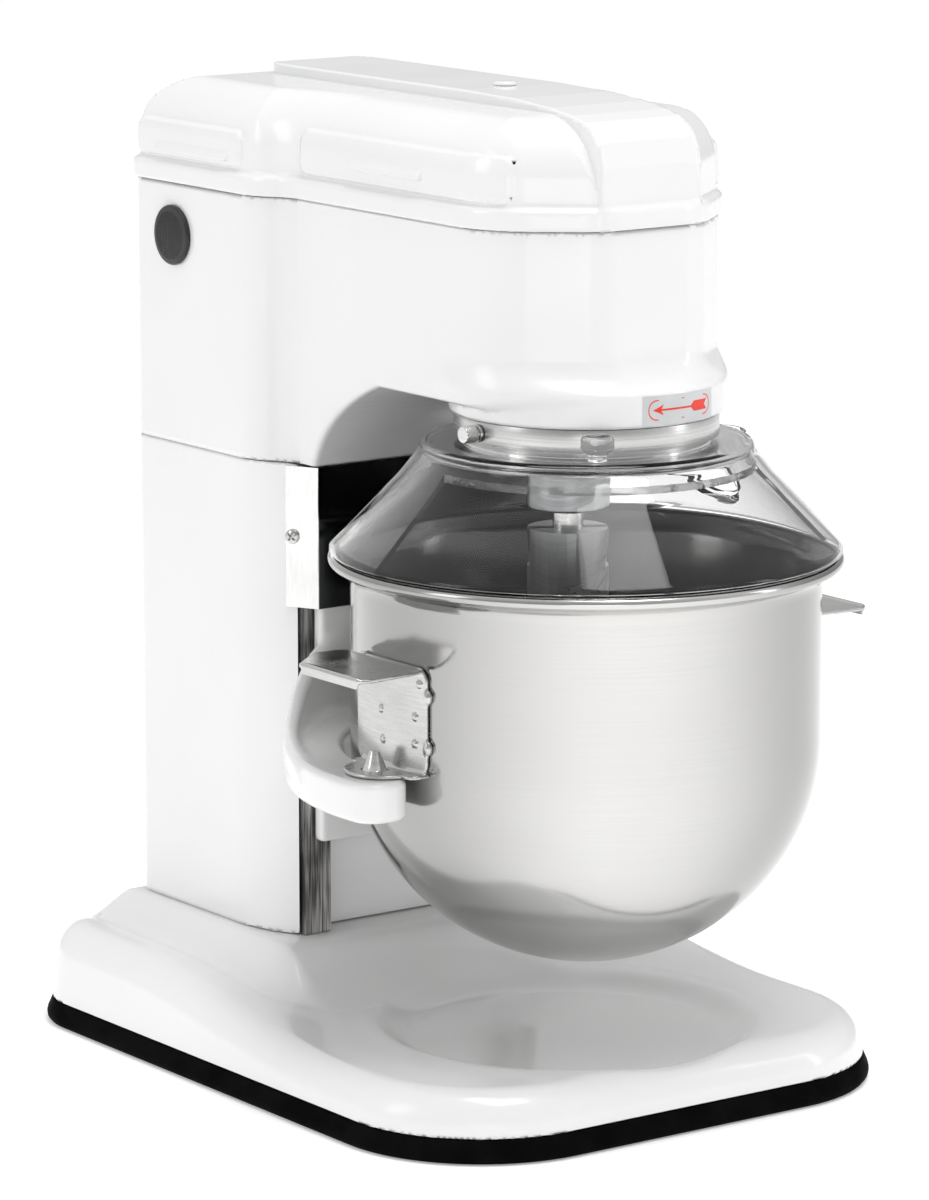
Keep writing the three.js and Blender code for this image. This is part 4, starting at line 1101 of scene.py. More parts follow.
@dataclass
class Cover:
    """The top cover: lip, dome, raised spine, vents and plug."""

    plan: Plan
    bottom: float = 433.3
    lip: float = 10.2
    proud: float = 2.0
    shoulder: float = 485.0
    crest: float = 491.0
    spine_half: float = 29.5
    side_round: float = 27.0
    nose_round: float = 40.0
    back_round: float = 34.0
    wall: float = 4.0
    panel: tuple = ((-22.0, 138.0), (446.5, 468.0))
    rear_panel: tuple = ((172.0, 266.0), (446.5, 464.0))
    panel_height: float = 1.8
    plug_y: float = 66.5
    plug_hole: float = 4.3
    spine_end: float = 239.0
    spine_side: tuple = (
        (-50.2, 430.0), (-50.2, 447.0), (-49.6, 463.0), (-47.2, 474.0), (-42.0, 480.0), (-35.0, 483.4),
        (-24.5, 485.9), (-8.0, 488.2), (20.0, 490.2), (60.0, 491.0), (230.0, 491.0), (236.0, 489.6),
        (239.0, 484.0), (239.0, 430.0),
    )

    def crown(self, x: np.ndarray, y: np.ndarray, z: np.ndarray) -> np.ndarray:
        """Field of the dome, without its lip and spine."""
        wall = self.plan.head(x, y, 1.0) + 0.035 * (z - self.bottom)
        panel, rear = (
            round_max(span(y, *along), span(z, *up), 5.0) for along, up in (self.panel, self.rear_panel)
        )
        raised = 1.0 - smooth(-1.0, 1.0, np.minimum(panel, rear))
        wall = wall - self.panel_height * raised * (np.abs(x) > 50.0)
        dome = round_max(wall, z - self.shoulder, self.side_round)
        front = round_max(self.plan.nose + 3.0 - y, z - self.shoulder, self.nose_round)
        back = round_max(y - self.plan.back + 1.0, z - self.shoulder, self.back_round)
        return np.maximum(np.maximum(dome, front), back)

    def spine(self, x: np.ndarray, y: np.ndarray, z: np.ndarray) -> np.ndarray:
        """Field of the raised spine."""
        ends = round_max(np.abs(x) - self.spine_half, y - self.spine_end, 22.0)
        return round_max(ends, polygon(y, z, self.spine_side), 1.2)

    def casting(self, x: np.ndarray, y: np.ndarray, z: np.ndarray) -> np.ndarray:
        """Field of the whole cover."""
        whole = round_min(self.crown(x, y, z), self.spine(x, y, z), 1.0)
        hollow = whole + self.wall
        plan = self.plan.head(x, y, -self.proud)
        lip = round_max(plan, span(z, self.bottom, self.bottom + self.lip), 1.8)
        whole = round_min(whole, lip, 2.4)
        whole = np.maximum(whole, self.bottom - z)
        plug = np.maximum(np.hypot(x, y - self.plug_y) - self.plug_hole, 470.0 - z)
        return np.maximum(np.maximum(whole, -hollow), -plug)

    def build(self) -> None:
        """Makes the cover, its vents and its plug."""
        low = (-self.plan.half - self.proud, self.plan.nose - self.proud, self.bottom)
        high = (self.plan.half + self.proud, self.plan.back + self.proud, self.crest)
        shell = cast("cover_shell", self.casting, low, high, 1.75)
        install(shell, Finishes.WHITE, "machine", "top_cover")
        for label, side in (("left", -1.0), ("right", 1.0)):
            self.vent(f"side_vent_{label}", side, 72.0, 34.0, 97.0, 452.4)
            self.vent(f"rear_vent_{label}", side, 84.6, 181.0, 248.0, 448.8)
        profile = [
            (0.0, 485.0), (3.9, 485.0), (3.9, 491.2), (6.0, 491.2),
            (6.0, 491.9), (5.4, 492.7), (4.0, 493.0), (0.0, 493.1),
        ]
        plug = turned("spine_plug", profile, (0.0, self.plug_y, 0.0), 40)
        install(plug, Finishes.WHITE, "machine", "cover_plug")

    def vent(self, name: str, side: float, face: float, start: float, end: float, slot: float) -> None:
        """Makes one hooded vent.

        Args:
            name: Name of the vent's hood.
            side: -1 for the left of the cover, 1 for the right.
            face: How far out the wall is there.
            start: Front end of the vent.
            end: Rear end of the vent.
            slot: Height of the slot.
        """

        def hood(x: np.ndarray, y: np.ndarray, z: np.ndarray) -> np.ndarray:
            """Field of the hood, which stands out most over the slot."""
            out = side * x - face
            rise = 2.4 * (1.0 - smooth(slot, slot + 7.5, z))
            ends = smooth(start, start + 3.0, y) * (1.0 - smooth(end - 3.0, end, y))
            body = np.maximum(out - rise * ends, -out - 2.2)
            body = np.maximum(body, span(z, slot, slot + 8.0))
            return np.maximum(body, span(y, start, end))

        low = (side * face - 4.0, start, slot)
        high = (side * face + 4.0, end, slot + 8.0)
        install(cast(name, hood, low, high, 0.8), Finishes.WHITE, "machine")
        # The black block in the slot is painted shade: it stands for the dark opening under the hood.
        depth = (face - 1.2, face + 0.35)
        along, up = (start + 2.0, end - 2.0), (slot - 1.3, slot + 0.1)
        co = [(side * d, y, z) for d in depth for y in along for z in up]
        faces = [[0, 1, 3, 2], [4, 6, 7, 5], [0, 4, 5, 1], [2, 3, 7, 6], [0, 2, 6, 4], [1, 5, 7, 3]]
        dark = mesh_object(f"{name}_slot_painted_shade", np.array(co), faces, shaded=False)
        tidy(dark)
        install(dark, Finishes.BLACK, "machine")


# ---------------------------------------------------------------- rails, carriage and bowl


@dataclass
class Carriage:
    """The bowl carriage: slide plate, gusset web and two arms with locating pins."""

    plate_half: float = 67.0
    plate_front: float = 129.3
    plate_back: float = 136.8
    plate_low: float = 109.6
    plate_high: float = 296.6
    arm_inner: float = 118.0
    arm_outer: float = 146.0
    arm_low: float = 157.6
    arm_high: float = 177.3
    arm_end: float = 22.0
    tip: float = 113.3
    pin_x: float = 125.0
    web_line: tuple = (
        (40.0, 172.0), (52.0, 177.2), (68.0, 179.6), (84.0, 183.0), (98.0, 190.0), (110.0, 200.0),
        (121.0, 209.0), (129.0, 214.0), (137.0, 216.0), (150.0, 216.0), (150.0, 170.0), (40.0, 168.0),
    )

    def casting(self, x: np.ndarray, y: np.ndarray, z: np.ndarray) -> np.ndarray:
        """Field of the carriage casting."""
        reach = np.hypot(x, y)
        plan = round_max(span(reach, self.arm_inner, self.arm_outer), -self.arm_end - y, 12.0)
        plan = round_max(plan, np.where(x > 0.0, 0.809 * x - 0.588 * y - self.tip, -20.0), 3.0)
        ring = round_max(plan, span(z, self.arm_low, self.arm_high), 3.2)
        web = round_max(span(reach, self.arm_outer - 6.0, self.arm_outer), polygon(y, z, self.web_line), 2.4)
        arms = np.maximum(round_min(ring, web, 5.0), y - self.plate_back)
        plate = round_max(np.abs(x) - self.plate_half, span(z, self.plate_low, self.plate_high), 3.0)
        plate = round_max(plate, span(y, self.plate_front, self.plate_back), 2.4)
        body = np.maximum(round_min(arms, plate, 6.0), y - self.plate_back)
        tongue = np.maximum(np.abs(x) - 56.2, span(z, self.plate_low, self.plate_high))
        return np.minimum(body, np.maximum(tongue, span(y, self.plate_back - 1.0, 142.8)))

    def build(self) -> None:
        """Makes the casting and its pins."""
        low = (-self.arm_outer, -26.0, self.plate_low)
        high = (self.arm_outer, 142.8, self.plate_high)
        shell = cast("carriage_shell", self.casting, low, high, 1.75)
        install(shell, Finishes.WHITE, "carriage", "bowl_carriage")
        profile = [
            (0.0, 0.0), (5.7, 0.0), (6.0, 0.4), (6.0, 1.6), (5.6, 2.0),
            (3.0, 9.4), (2.6, 10.3), (1.8, 10.7), (0.0, 10.7),
        ]
        for label, side in (("left", -1.0), ("right", 1.0)):
            pin = turned(f"taper_pin_{label}", profile, (side * self.pin_x, 0.0, self.arm_high + 0.3), 40)
            crisp(pin)
            install(pin, Finishes.STAINLESS, "carriage", f"locating_pin_{label}")


@dataclass
class Bowl:
    """The spun bowl and the sheet brackets welded to its sides."""

    radius: float = 114.4
    wall: float = 1.5
    rim_radius: float = 125.0
    rim_tube: float = 3.0
    rim_top: float = 271.3
    bottom: float = 69.8
    dome: float = 110.5
    flat: float = 24.0
    low: float = 177.6
    high: float = 230.6
    reach: float = 154.0
    grip: tuple = ((116.0, -26.0), (122.0, -28.0), (149.5, -30.6), (154.0, -26.5), (154.0, 21.0), (134.0, 38.6),
                   (120.0, 37.0), (116.0, 34.0))
    lip: float = 5.0
    welds: tuple = ((-21.9, 222.7), (-19.0, 206.6), (6.4, 206.5), (5.0, 192.0), (-19.0, 193.7))

    def curve(self, across: float, down: float) -> list[tuple[float, float]]:
        """Quarter ellipse from the flat foot up to the straight wall."""
        start = math.asin(self.flat / across)
        centre = self.bottom + self.dome
        angles = np.linspace(start, 0.5 * math.pi, 40)
        return [(across * math.sin(t), centre - down * math.cos(t)) for t in angles]

    def build(self) -> None:
        """Makes the bowl and its brackets."""
        outside = self.curve(self.radius, self.dome)
        inside = self.curve(self.radius - self.wall, self.dome - self.wall)[::-1]
        tube = self.rim_radius - self.rim_tube
        angles = np.radians(np.linspace(-112.0, 150.0, 22))
        middle = self.rim_top - self.rim_tube
        rolled = [(tube + self.rim_tube * math.cos(t), middle + self.rim_tube * math.sin(t)) for t in angles]
        neck = soften([outside[-1], (self.radius, 259.5), (self.radius + 3.0, 263.5), rolled[0]], 3.0, 4)[1:-1]
        inner = [(self.radius + 2.0, 266.6), (self.radius - 0.2, 262.6), (self.radius - self.wall, 259.0)]
        profile = [(0.0, outside[0][1]), (12.0, outside[0][1]), *outside, *neck, *rolled, *inner, *inside,
                   (12.0, inside[-1][1]), (0.0, inside[-1][1])]
        pan = turned("spun_bowl", profile, steps=160)
        install(pan, Finishes.BOWL, "carriage", "bowl")
        for label, side in (("left", -1.0), ("right", 1.0)):
            self.build_bracket(label, side)

    def bracket(self, x: np.ndarray, y: np.ndarray, z: np.ndarray) -> np.ndarray:
        """Field of the right bracket."""
        reach = np.hypot(x, y)
        along = np.arctan2(y, x) * (self.radius + 1.3)
        gauge = 0.5 * 1.9
        corners = round_max(span(along, -26.3, 33.5), span(z, self.low, self.high), 7.0)
        skin = round_max(np.abs(reach - self.radius - 1.35) - gauge, corners, 0.7)
        flange = round_max(np.abs(z - self.high + 1.0) - gauge, polygon(x, y, self.grip), 0.7)
        fold = round_max(np.abs(x - self.reach + 1.0) - gauge, span(y, -26.5, 19.5), 2.0)
        fold = round_max(fold, span(z, self.high - self.lip, self.high), 0.7)
        root = round_max(span(x, 100.0, 123.0), np.abs(y) - 26.0, 6.0)
        tab_plan = np.minimum(np.hypot(x - 120.0, y) - 19.0, root)
        tab = round_max(np.abs(z - self.low - 1.0) - gauge, tab_plan, 0.7)
        tab = np.maximum(tab, 6.6 - np.hypot(x - 125.0, y))
        body = round_min(skin, flange, 3.0)
        body = round_min(body, fold, 2.2)
        body = round_min(body, tab, 2.0)
        for across, height in self.welds:
            spot = np.sqrt((along - across) ** 2 + (z - height) ** 2 + (1.6 * (reach - self.radius - 2.3)) ** 2)
            body = round_min(body, spot - 1.9, 0.5)
        for height in (216.7, 192.2):
            bead = np.sqrt((along + 26.5) ** 2 + (0.62 * (z - height)) ** 2 + (reach - self.radius - 1.2) ** 2)
            body = round_min(body, bead - 2.1, 1.0)
        return np.maximum(body, self.radius + 0.25 - reach)

    def build_bracket(self, label: str, side: float) -> None:
        """Makes one bracket. The left one is the right one mirrored."""

        def placed(x: np.ndarray, y: np.ndarray, z: np.ndarray) -> np.ndarray:
            """Field of the bracket on its own side."""
            return self.bracket(side * x, y, z)

        edge = (104.0, 155.0) if side > 0 else (-155.0, -104.0)
        made = cast(f"handle_{label}", placed, (edge[0], -34.0, self.low), (edge[1], 42.0, self.high), 0.85)
        install(made, Finishes.SATIN, "carriage", f"bowl_bracket_{label}")


@dataclass
class RailCover:
    """The folded stainless sheet over the top of the rails, and its two screws."""

    low: float = 229.6
    high: float = 300.7
    gauge: float = 1.2
    front: float = 127.5
    corner: float = 69.8
    screw_height: float = 265.3

    def lines(self) -> tuple[np.ndarray, np.ndarray]:
        """Start of the flange and its direction along the cut corner, for the right side."""
        start = np.array([72.8, 137.4])
        ahead = np.array([12.4, 20.2]) / math.hypot(12.4, 20.2)
        return start, ahead

    def build(self) -> None:
        """Makes the sheet and its screws."""
        start, ahead = self.lines()
        out = np.array([ahead[1], -ahead[0]])
        tip = start + ahead * 8.0 + out * (0.35 + self.gauge)
        fold = start - ahead * 0.7 + out * (0.35 + self.gauge)
        half = [tuple(tip), tuple(fold), (self.corner, self.front)]
        path = [(-a, b) for a, b in half] + half[::-1]
        outer = soften(path, 1.4, 4)
        inner = shift_path(outer, -self.gauge)
        if inner[len(inner) // 2][1] < self.front:
            inner = shift_path(outer, self.gauge)
        loop = outer + inner[::-1]
        many = len(outer)
        co = [(*p, z) for z in (self.low, self.high) for p in loop]
        total = 2 * many
        faces = []
        for i in range(total):
            j = (i + 1) % total
            faces.append([i, j, total + j, total + i])
        for i in range(many - 1):
            faces.append([i, i + 1, total - 2 - i, total - 1 - i])
            faces.append([total + i, total + total - 1 - i, total + total - 2 - i, total + i + 1])
        sheet = mesh_object("rail_cover_sheet", np.array(co), faces)
        tidy(sheet)
        crisp(sheet, 40.0)
        # The sheet's forward face gets a painted dark reflection from this finish.
        install(sheet, Finishes.PAINTED_DARK_FRONT, "machine", "rail_cover_plate")
        for label, side in (("left", -1.0), ("right", 1.0)):
            self.build_screw(label, side, start + ahead * 4.2 + out * (0.4 + self.gauge), out)

    def build_screw(self, label: str, side: float, seat: np.ndarray, out: np.ndarray) -> None:
        """Makes one cross-head screw.

        Args:
            label: left or right.
            side: -1 or 1.
            seat: Where the head sits, for the right side, in plan.
            out: Unit direction away from the column, for the right side.
        """

        def head(x: np.ndarray, y: np.ndarray, z: np.ndarray) -> np.ndarray:
            """Field of the screw head and its cross."""
            rx, ry, rz = side * x - seat[0], y - seat[1], z - self.screw_height
            up = rx * out[0] + ry * out[1]
            across = -rx * out[1] + ry * out[0]
            radial = np.hypot(across, rz)
            dome = np.sqrt(radial**2 + (up + 4.6) ** 2) - 6.6
            body = round_max(dome, radial - 3.7, 0.3)
            body = np.maximum(body, -up - 0.4)
            turn = 0.7
            u = across * math.cos(turn) + rz * math.sin(turn)
            v = -across * math.sin(turn) + rz * math.cos(turn)
            level = np.maximum(np.abs(u) - 2.3, np.abs(v) - 0.45)
            upright = np.maximum(np.abs(v) - 2.3, np.abs(u) - 0.45)
            arm = np.minimum(level, upright)
            return np.maximum(body, -np.maximum(arm, 0.5 - up))

        centre = np.array([side * seat[0], seat[1], self.screw_height])
        made = cast(f"cross_screw_{label}", head, centre - 4.6, centre + 4.6, 0.2)
        install(made, Finishes.STEEL, "machine", f"rail_cover_screw_{label}")


# ---------------------------------------------------------------- guard and drive


@dataclass
class Guard:
    """The steel ring under the collar and the clear two-part guard that hangs from it."""

    ring_top: float = 340.3
    ring_low: float = 329.3
    ring_inner: float = 60.3
    ring_outer: float = 64.1
    top: float = 326.3
    neck: float = 60.7
    sheet: float = 2.4
    gap: float = 1.0
    foot_radius: float = 124.3
    foot: float = 274.7
    lip: float = 272.4
    wedge_radius: float = 81.5
    door: tuple = (144.0, 396.0)
    fixed: tuple = (335.0, 538.0)
    chute_angle: float = 14.0
    chute_distance: float = 95.0
    chute_radius: float = 19.5
    chute_top: float = 318.3
    under: float = 240.0
    above: float = 360.0
    bends: tuple = ((80.0, 0.0), (82.5, 6.5), (90.5, 16.5))

    def corners(self) -> list[tuple[float, float]]:
        """Corners of the guard's section, from the neck down to the foot."""
        bends = [(radius, self.top - down) for radius, down in self.bends]
        return [(self.neck, self.top), *bends, (self.foot_radius, self.foot), (self.foot_radius, self.lip)]

    def path(self) -> list[tuple[float, float]]:
        """Outer line of the guard's section, with its bends rounded."""
        return soften(self.corners(), 3.0, 5)

    def shell(self, name: str, depth: float) -> bpy.types.Object:
        """One full layer of the guard, its outer face that far inside the path."""
        corners = self.corners()
        way = -1.0 if shift_path(corners, 1.0)[0][1] > corners[0][1] else 1.0
        outer = soften(shift_path(corners, way * depth), 2.0, 4)
        inner = soften(shift_path(corners, way * (depth + self.sheet)), 2.0, 4)
        low = self.lip + 0.3
        outer = [(r, z) for r, z in outer if z > low] + [(outer[-1][0], low)]
        inner = [(r, z) for r, z in inner if z > low] + [(inner[-1][0], low)]
        return turned(name, outer + inner[::-1], steps=142, closed=True)

    def wedge(self, start: float, end: float) -> bpy.types.Object:
        """Cutter for the sector between two angles, in degrees, outside the neck."""
        angles = np.radians(np.linspace(start, end, 24))
        plan = [(self.wedge_radius * math.cos(t), self.wedge_radius * math.sin(t)) for t in angles]
        plan += [(240.0 * math.cos(t), 240.0 * math.sin(t)) for t in angles[::-1]]
        many = len(plan)
        co = [(*p, z) for z in (250.0, 350.0) for p in plan]
        half = many // 2
        faces = [[i, (i + 1) % many, many + (i + 1) % many, many + i] for i in range(many)]
        for i in range(half - 1):
            faces.append([i, many - 1 - i, many - 2 - i, i + 1])
            faces.append([many + i, many + i + 1, 2 * many - 2 - i, 2 * many - 1 - i])
        made = mesh_object("wedge", np.array(co), faces)
        tidy(made)
        return made

    def disc(self, name: str, centre: tuple[float, float], radius: float) -> bpy.types.Object:
        """A plain round cutter that reaches past the guard above and below."""
        profile = [(0.0, self.under), (radius, self.under), (radius, self.above), (0.0, self.above)]
        return turned(name, profile, (*centre, 0.0), 64)

    def build(self) -> None:
        """Makes the ring, its screws and both layers of the guard."""
        section = soften_loop([(self.ring_inner, self.ring_low), (self.ring_outer, self.ring_low),
                               (self.ring_outer, self.ring_top), (self.ring_inner, self.ring_top)], 0.5, 3)
        ring = turned("steel_ring", section, steps=128, closed=True)
        crisp(ring, 50.0)
        install(ring, Finishes.RING, "machine", "guard_ring")
        angle = math.radians(self.chute_angle)
        centre = (self.chute_distance * math.cos(angle), self.chute_distance * math.sin(angle))
        mouth = self.chute_radius - self.sheet

        door = self.shell("clear_door", 0.0)
        boolean(door, self.wedge(self.door[1] - 360.0, self.door[0]), "DIFFERENCE")
        outer, top, edge = self.chute_radius, self.chute_top, 0.5
        wall = [
            (mouth, 285.0), (outer, 285.0), (outer, top - edge),
            (outer - edge, top), (mouth + edge, top), (mouth, top - edge),
        ]
        tube = turned("tube", wall, (*centre, 0.0), 64, True)
        half = 0.5 * self.sheet
        under = [(0.0, self.under), *[(r, z - half) for r, z in self.path()[::-1]], (0.0, self.top - half)]
        boolean(tube, turned("under", under, steps=96), "DIFFERENCE")
        boolean(tube, self.disc("neck_tool", (0.0, 0.0), 84.0), "DIFFERENCE")
        boolean(door, self.disc("bore", centre, mouth), "DIFFERENCE")
        boolean(door, tube, "UNION")
        crisp(door)
        install(door, Finishes.CLEAR, "door", "guard_door")

        fixed = self.shell("clear_screen", self.sheet + self.gap)
        boolean(fixed, self.wedge(self.fixed[1] - 360.0, self.fixed[0]), "DIFFERENCE")
        boolean(fixed, self.disc("bore", centre, mouth), "DIFFERENCE")
        crisp(fixed)
        install(fixed, Finishes.CLEAR, "machine", "fixed_guard")

        knob_angle = math.radians(-123.0)
        profile = [
            (0.0, 326.7), (5.0, 326.7), (4.0, 329.7), (8.0, 332.6),
            (8.0, 337.6), (6.5, 339.0), (0.0, 339.1),
        ]
        at = (72.0 * math.cos(knob_angle), 72.0 * math.sin(knob_angle), 0.0)
        knob = turned("clear_knob", soften(profile, 1.4, 4), at, 48)
        install(knob, Finishes.CLEAR, "door", "door_knob")
        for label, side in (("left", -1.0), ("right", 1.0)):
            self.build_thumb_screw(label, side)

    def build_thumb_screw(self, label: str, side: float) -> None:
        """Makes one knurled thumb screw in the ring's side."""
        height = 0.5 * (self.ring_low + self.ring_top)

        def screw(x: np.ndarray, y: np.ndarray, z: np.ndarray) -> np.ndarray:
            """Field of the screw with its two crossing sets of knurl grooves."""
            out, rz = side * x, z - height
            radial = np.hypot(y, rz)
            angle = np.arctan2(rz, y)
            knurl = 0.16 * (np.abs(np.sin(9.0 * angle + 1.7 * out)) + np.abs(np.sin(9.0 * angle - 1.7 * out)))
            head = round_max(radial - 4.35 + knurl, span(out, 66.8, 73.8), 0.5)
            collar = round_max(radial - 4.4, span(out, 64.5, 65.9), 0.3)
            stem = np.maximum(radial - 2.9, span(out, 60.0, 68.0))
            shank = np.maximum(radial - 2.3, span(out, 56.6, 65.0))
            return np.minimum(np.minimum(head, collar), np.minimum(stem, shank))

        low = (56.0, -5.0, height - 5.0) if side > 0 else (-74.5, -5.0, height - 5.0)
        high = (74.5, 5.0, height + 5.0) if side > 0 else (-56.0, 5.0, height + 5.0)
        made = cast(f"knurled_screw_{label}", screw, low, high, 0.3)
        install(made, Finishes.STAINLESS, f"clamp_{label}", f"thumb_screw_{label}")


@dataclass
class Drive:
    """What shows of the planetary drive above the tool: skirt, hub and tool shaft."""

    hub_x: float = -24.147
    hub_y: float = -17.802
    skirt_outer: float = 60.0
    skirt_inner: float = 56.6

    def hub(self, x: np.ndarray, y: np.ndarray, z: np.ndarray) -> np.ndarray:
        """Field of the planet carrier: drum, hub, bearing bore and shaft bore."""
        drum = round_max(np.hypot(x, y) - 55.4, span(z, 320.3, 337.0), 1.0)
        away = np.hypot(x - self.hub_x, y - self.hub_y)
        boss = round_max(away - 20.0, span(z, 297.3, 322.0), 1.2)
        body = round_min(drum, boss, 2.0)
        body = np.maximum(body, 16.3 - away)
        bore = np.maximum(np.hypot(x, y) - 9.3, 322.0 - z)
        return np.maximum(body, -bore)

    def build(self) -> None:
        """Makes the skirt, the hub and the tool shaft."""
        inner, outer = self.skirt_inner, self.skirt_outer
        lip = [
            (inner, 319.3), (64.6, 319.3), (65.0, 319.6), (64.6, 320.1),
            (outer, 320.1), (outer, 350.0), (inner, 350.0),
        ]
        skirt = turned("drive_shroud", lip, steps=128, closed=True)
        crisp(skirt, 40.0)
        install(skirt, Finishes.RING, "machine", "drive_skirt")
        low = (-55.6, -55.6, 297.0)
        high = (55.6, 55.6, 337.3)
        install(cast("planet_hub", self.hub, low, high, 1.3), Finishes.ALUMINIUM, "carrier", "planet_carrier")
        shaft = turned("tool_spindle", [(0.0, 263.0), (6.8, 263.0), (7.5, 263.8), (7.5, 349.0), (0.0, 349.4)],
                       (self.hub_x, self.hub_y, 0.0), 64)
        crisp(shaft)
        install(shaft, Finishes.STAINLESS, "planet", "tool_shaft")


# ---------------------------------------------------------------- controls and small parts


class Axis(Enum):
    """Which way a turned part of the controls points."""

    RIGHT = "right"
    BACK = "back"


def aimed(piece: bpy.types.Object, way: Axis, at: tuple[float, float, float]) -> bpy.types.Object:
    """Turns a part made upright at the bowl's axis so that it points the given way from a point.

    Args:
        piece: The upright part.
        way: Direction that its top goes to.
        at: Point in millimetres where its foot goes.

    Returns:
        The part, with its mesh in place.
    """
    co = np.empty(len(piece.data.vertices) * 3)
    piece.data.vertices.foreach_get("co", co)
    co = co.reshape(-1, 3) / MM - (0.0, AXIS_Y, 0.0)
    x, y, z = co.T
    turn = {Axis.RIGHT: (z, y, -x), Axis.BACK: (x, z, -y)}[way]
    placed = (np.stack(turn, axis=1) + np.array(at) + (0.0, AXIS_Y, 0.0)) * MM
    piece.data.vertices.foreach_set("co", placed.ravel())
    piece.data.update()
    tidy(piece)
    crisp(piece)
    return piece


@dataclass
class Controls:
    """The knob, the buttons, the side cap and the cable gland."""

    panel_x: float = 85.5
    knob_y: float = 215.0
    knob_z: float = 395.3
    button_z: float = 351.3

    def build(self) -> None:
        """Makes the turned and moulded small parts."""
        self.build_cap()
        self.build_knob()
        for name, y, finish in (("start", 199.0, Finishes.GREEN), ("stop", 231.0, Finishes.RED)):
            profile = soften([(0.0, -7.4), (9.0, -7.4), (9.0, 7.9), (7.2, 9.8), (0.0, 8.8)], 1.6, 5)
            cap = turned(f"{name}_cap", profile, steps=48)
            button = aimed(cap, Axis.RIGHT, (self.panel_x, y, self.button_z))
            install(button, finish, name, f"{name}_button")
        gland = [(0.0, -14.0), (6.2, -14.0), (6.2, 0.3), (10.6, 0.3), (10.6, 5.0), (7.6, 6.6), (7.0, 11.0),
                 (4.6, 13.8), (0.0, 13.9)]
        gland = soften(gland, 0.8, 3)
        install(aimed(turned("cable_entry", gland, steps=48), Axis.BACK, (0.0, 272.0, 101.3)), Finishes.BLACK,
                "machine", "cable_gland")

    def build_cap(self) -> None:
        """Makes the round ribbed cap on the head's left side."""

        def cap(x: np.ndarray, y: np.ndarray, z: np.ndarray) -> np.ndarray:
            """Field of the cap: a low dome with upright ribs on its face."""
            out = -x - 85.2
            ry, rz = y - 231.8, z - 407.0
            radial = np.hypot(ry, rz)
            ribs = 0.22 * np.cos(2.0 * math.pi * ry / 1.5) * (1.0 - smooth(11.8, 12.8, radial))
            face = out - 3.9 + 0.006 * radial**2 - ribs
            body = round_max(radial - 15.2, face, 1.0)
            body = np.maximum(body, 0.2 - out)
            stem = np.maximum(radial - 9.8, span(out, -11.5, 1.0))
            return np.minimum(body, stem)

        made = cast("ribbed_cap", cap, (-90.0, 216.0, 391.0), (-73.0, 248.0, 423.0), 0.4)
        install(made, Finishes.BLACK, "machine", "side_blanking_cap")

    def build_knob(self) -> None:
        """Makes the speed knob, fluted round its side and marked by one raised pointer."""

        def knob(x: np.ndarray, y: np.ndarray, z: np.ndarray) -> np.ndarray:
            """Field of the knob."""
            out = x - self.panel_x
            ry, rz = y - self.knob_y, z - self.knob_z
            radial = np.hypot(ry, rz)
            flutes = 0.5 * (1.0 + np.cos(18.0 * np.arctan2(rz, ry))) * 0.6 * smooth(10.0, 15.0, radial)
            body = round_max(radial - 16.9 + flutes, span(out, 3.8, 19.8), 2.2)
            bar = round_max(np.maximum(np.abs(ry) - 2.2, np.abs(rz) - 14.0), span(out, 15.0, 22.9), 1.2)
            stem = np.maximum(radial - 5.9, span(out, -15.8, 6.0))
            return np.minimum(round_min(body, bar, 1.2), stem)

        made = cast("speed_dial_knob", knob, (69.0, 197.0, 378.0), (109.0, 233.0, 413.0), 0.75)
        install(made, Finishes.BLACK, "speed_dial", "speed_knob")


KEPT = {
    "slide_rail_left": (Finishes.MACHINED, 0.0004),
    "slide_rail_right": (Finishes.MACHINED, 0.0004),
    "base_bottom_plate": (Finishes.STEEL, 0.0003),
    "motor_housing": (Finishes.ALUMINIUM, 0.0006),
    "motor_stator": (Finishes.COPPER, 0.0),
    "motor_plate": (Finishes.STEEL, 0.0004),
    "motor_rotor": (Finishes.MACHINED, 0.0003),
    "motor_pulley": (Finishes.ALUMINIUM, 0.0),
    "drive_belt": (Finishes.RUBBER, 0.0),
    "bearing_housing": (Finishes.ALUMINIUM, 0.0004),
    "main_bearing_lower": (Finishes.STEEL, 0.0003),
    "main_bearing_upper": (Finishes.STEEL, 0.0003),
    "ring_gear": (Finishes.MACHINED, 0.0),
    "interlock_switch": (Finishes.BLACK, 0.0008),
    "control_panel": (Finishes.BLACK, 0.0008),
    "start_button_spring": (Finishes.STEEL, 0.0),
    "stop_button_spring": (Finishes.STEEL, 0.0),
    "switch_block": (Finishes.BLACK, 0.0006),
    "main_shaft": (Finishes.STEEL, 0.0004),
    "driven_pulley": (Finishes.ALUMINIUM, 0.0),
    "planet_bearing_upper": (Finishes.STEEL, 0.0003),
    "planet_bearing_lower": (Finishes.STEEL, 0.0003),
    "oil_seal": (Finishes.RUBBER, 0.0003),
    "planet_pinion": (Finishes.MACHINED, 0.0),
    "bayonet_pin": (Finishes.STEEL, 0.0004),
    "flat_beater": (Finishes.ALUMINIUM, 0.0008),
    "lift_rack": (Finishes.MACHINED, 0.0),
    "lever_shaft": (Finishes.STEEL, 0.0),
    "lift_lever": (Finishes.STAINLESS, 0.0008),
    "lever_knob": (Finishes.BLACK, 0.0008),
}


# ---------------------------------------------------------------- studio


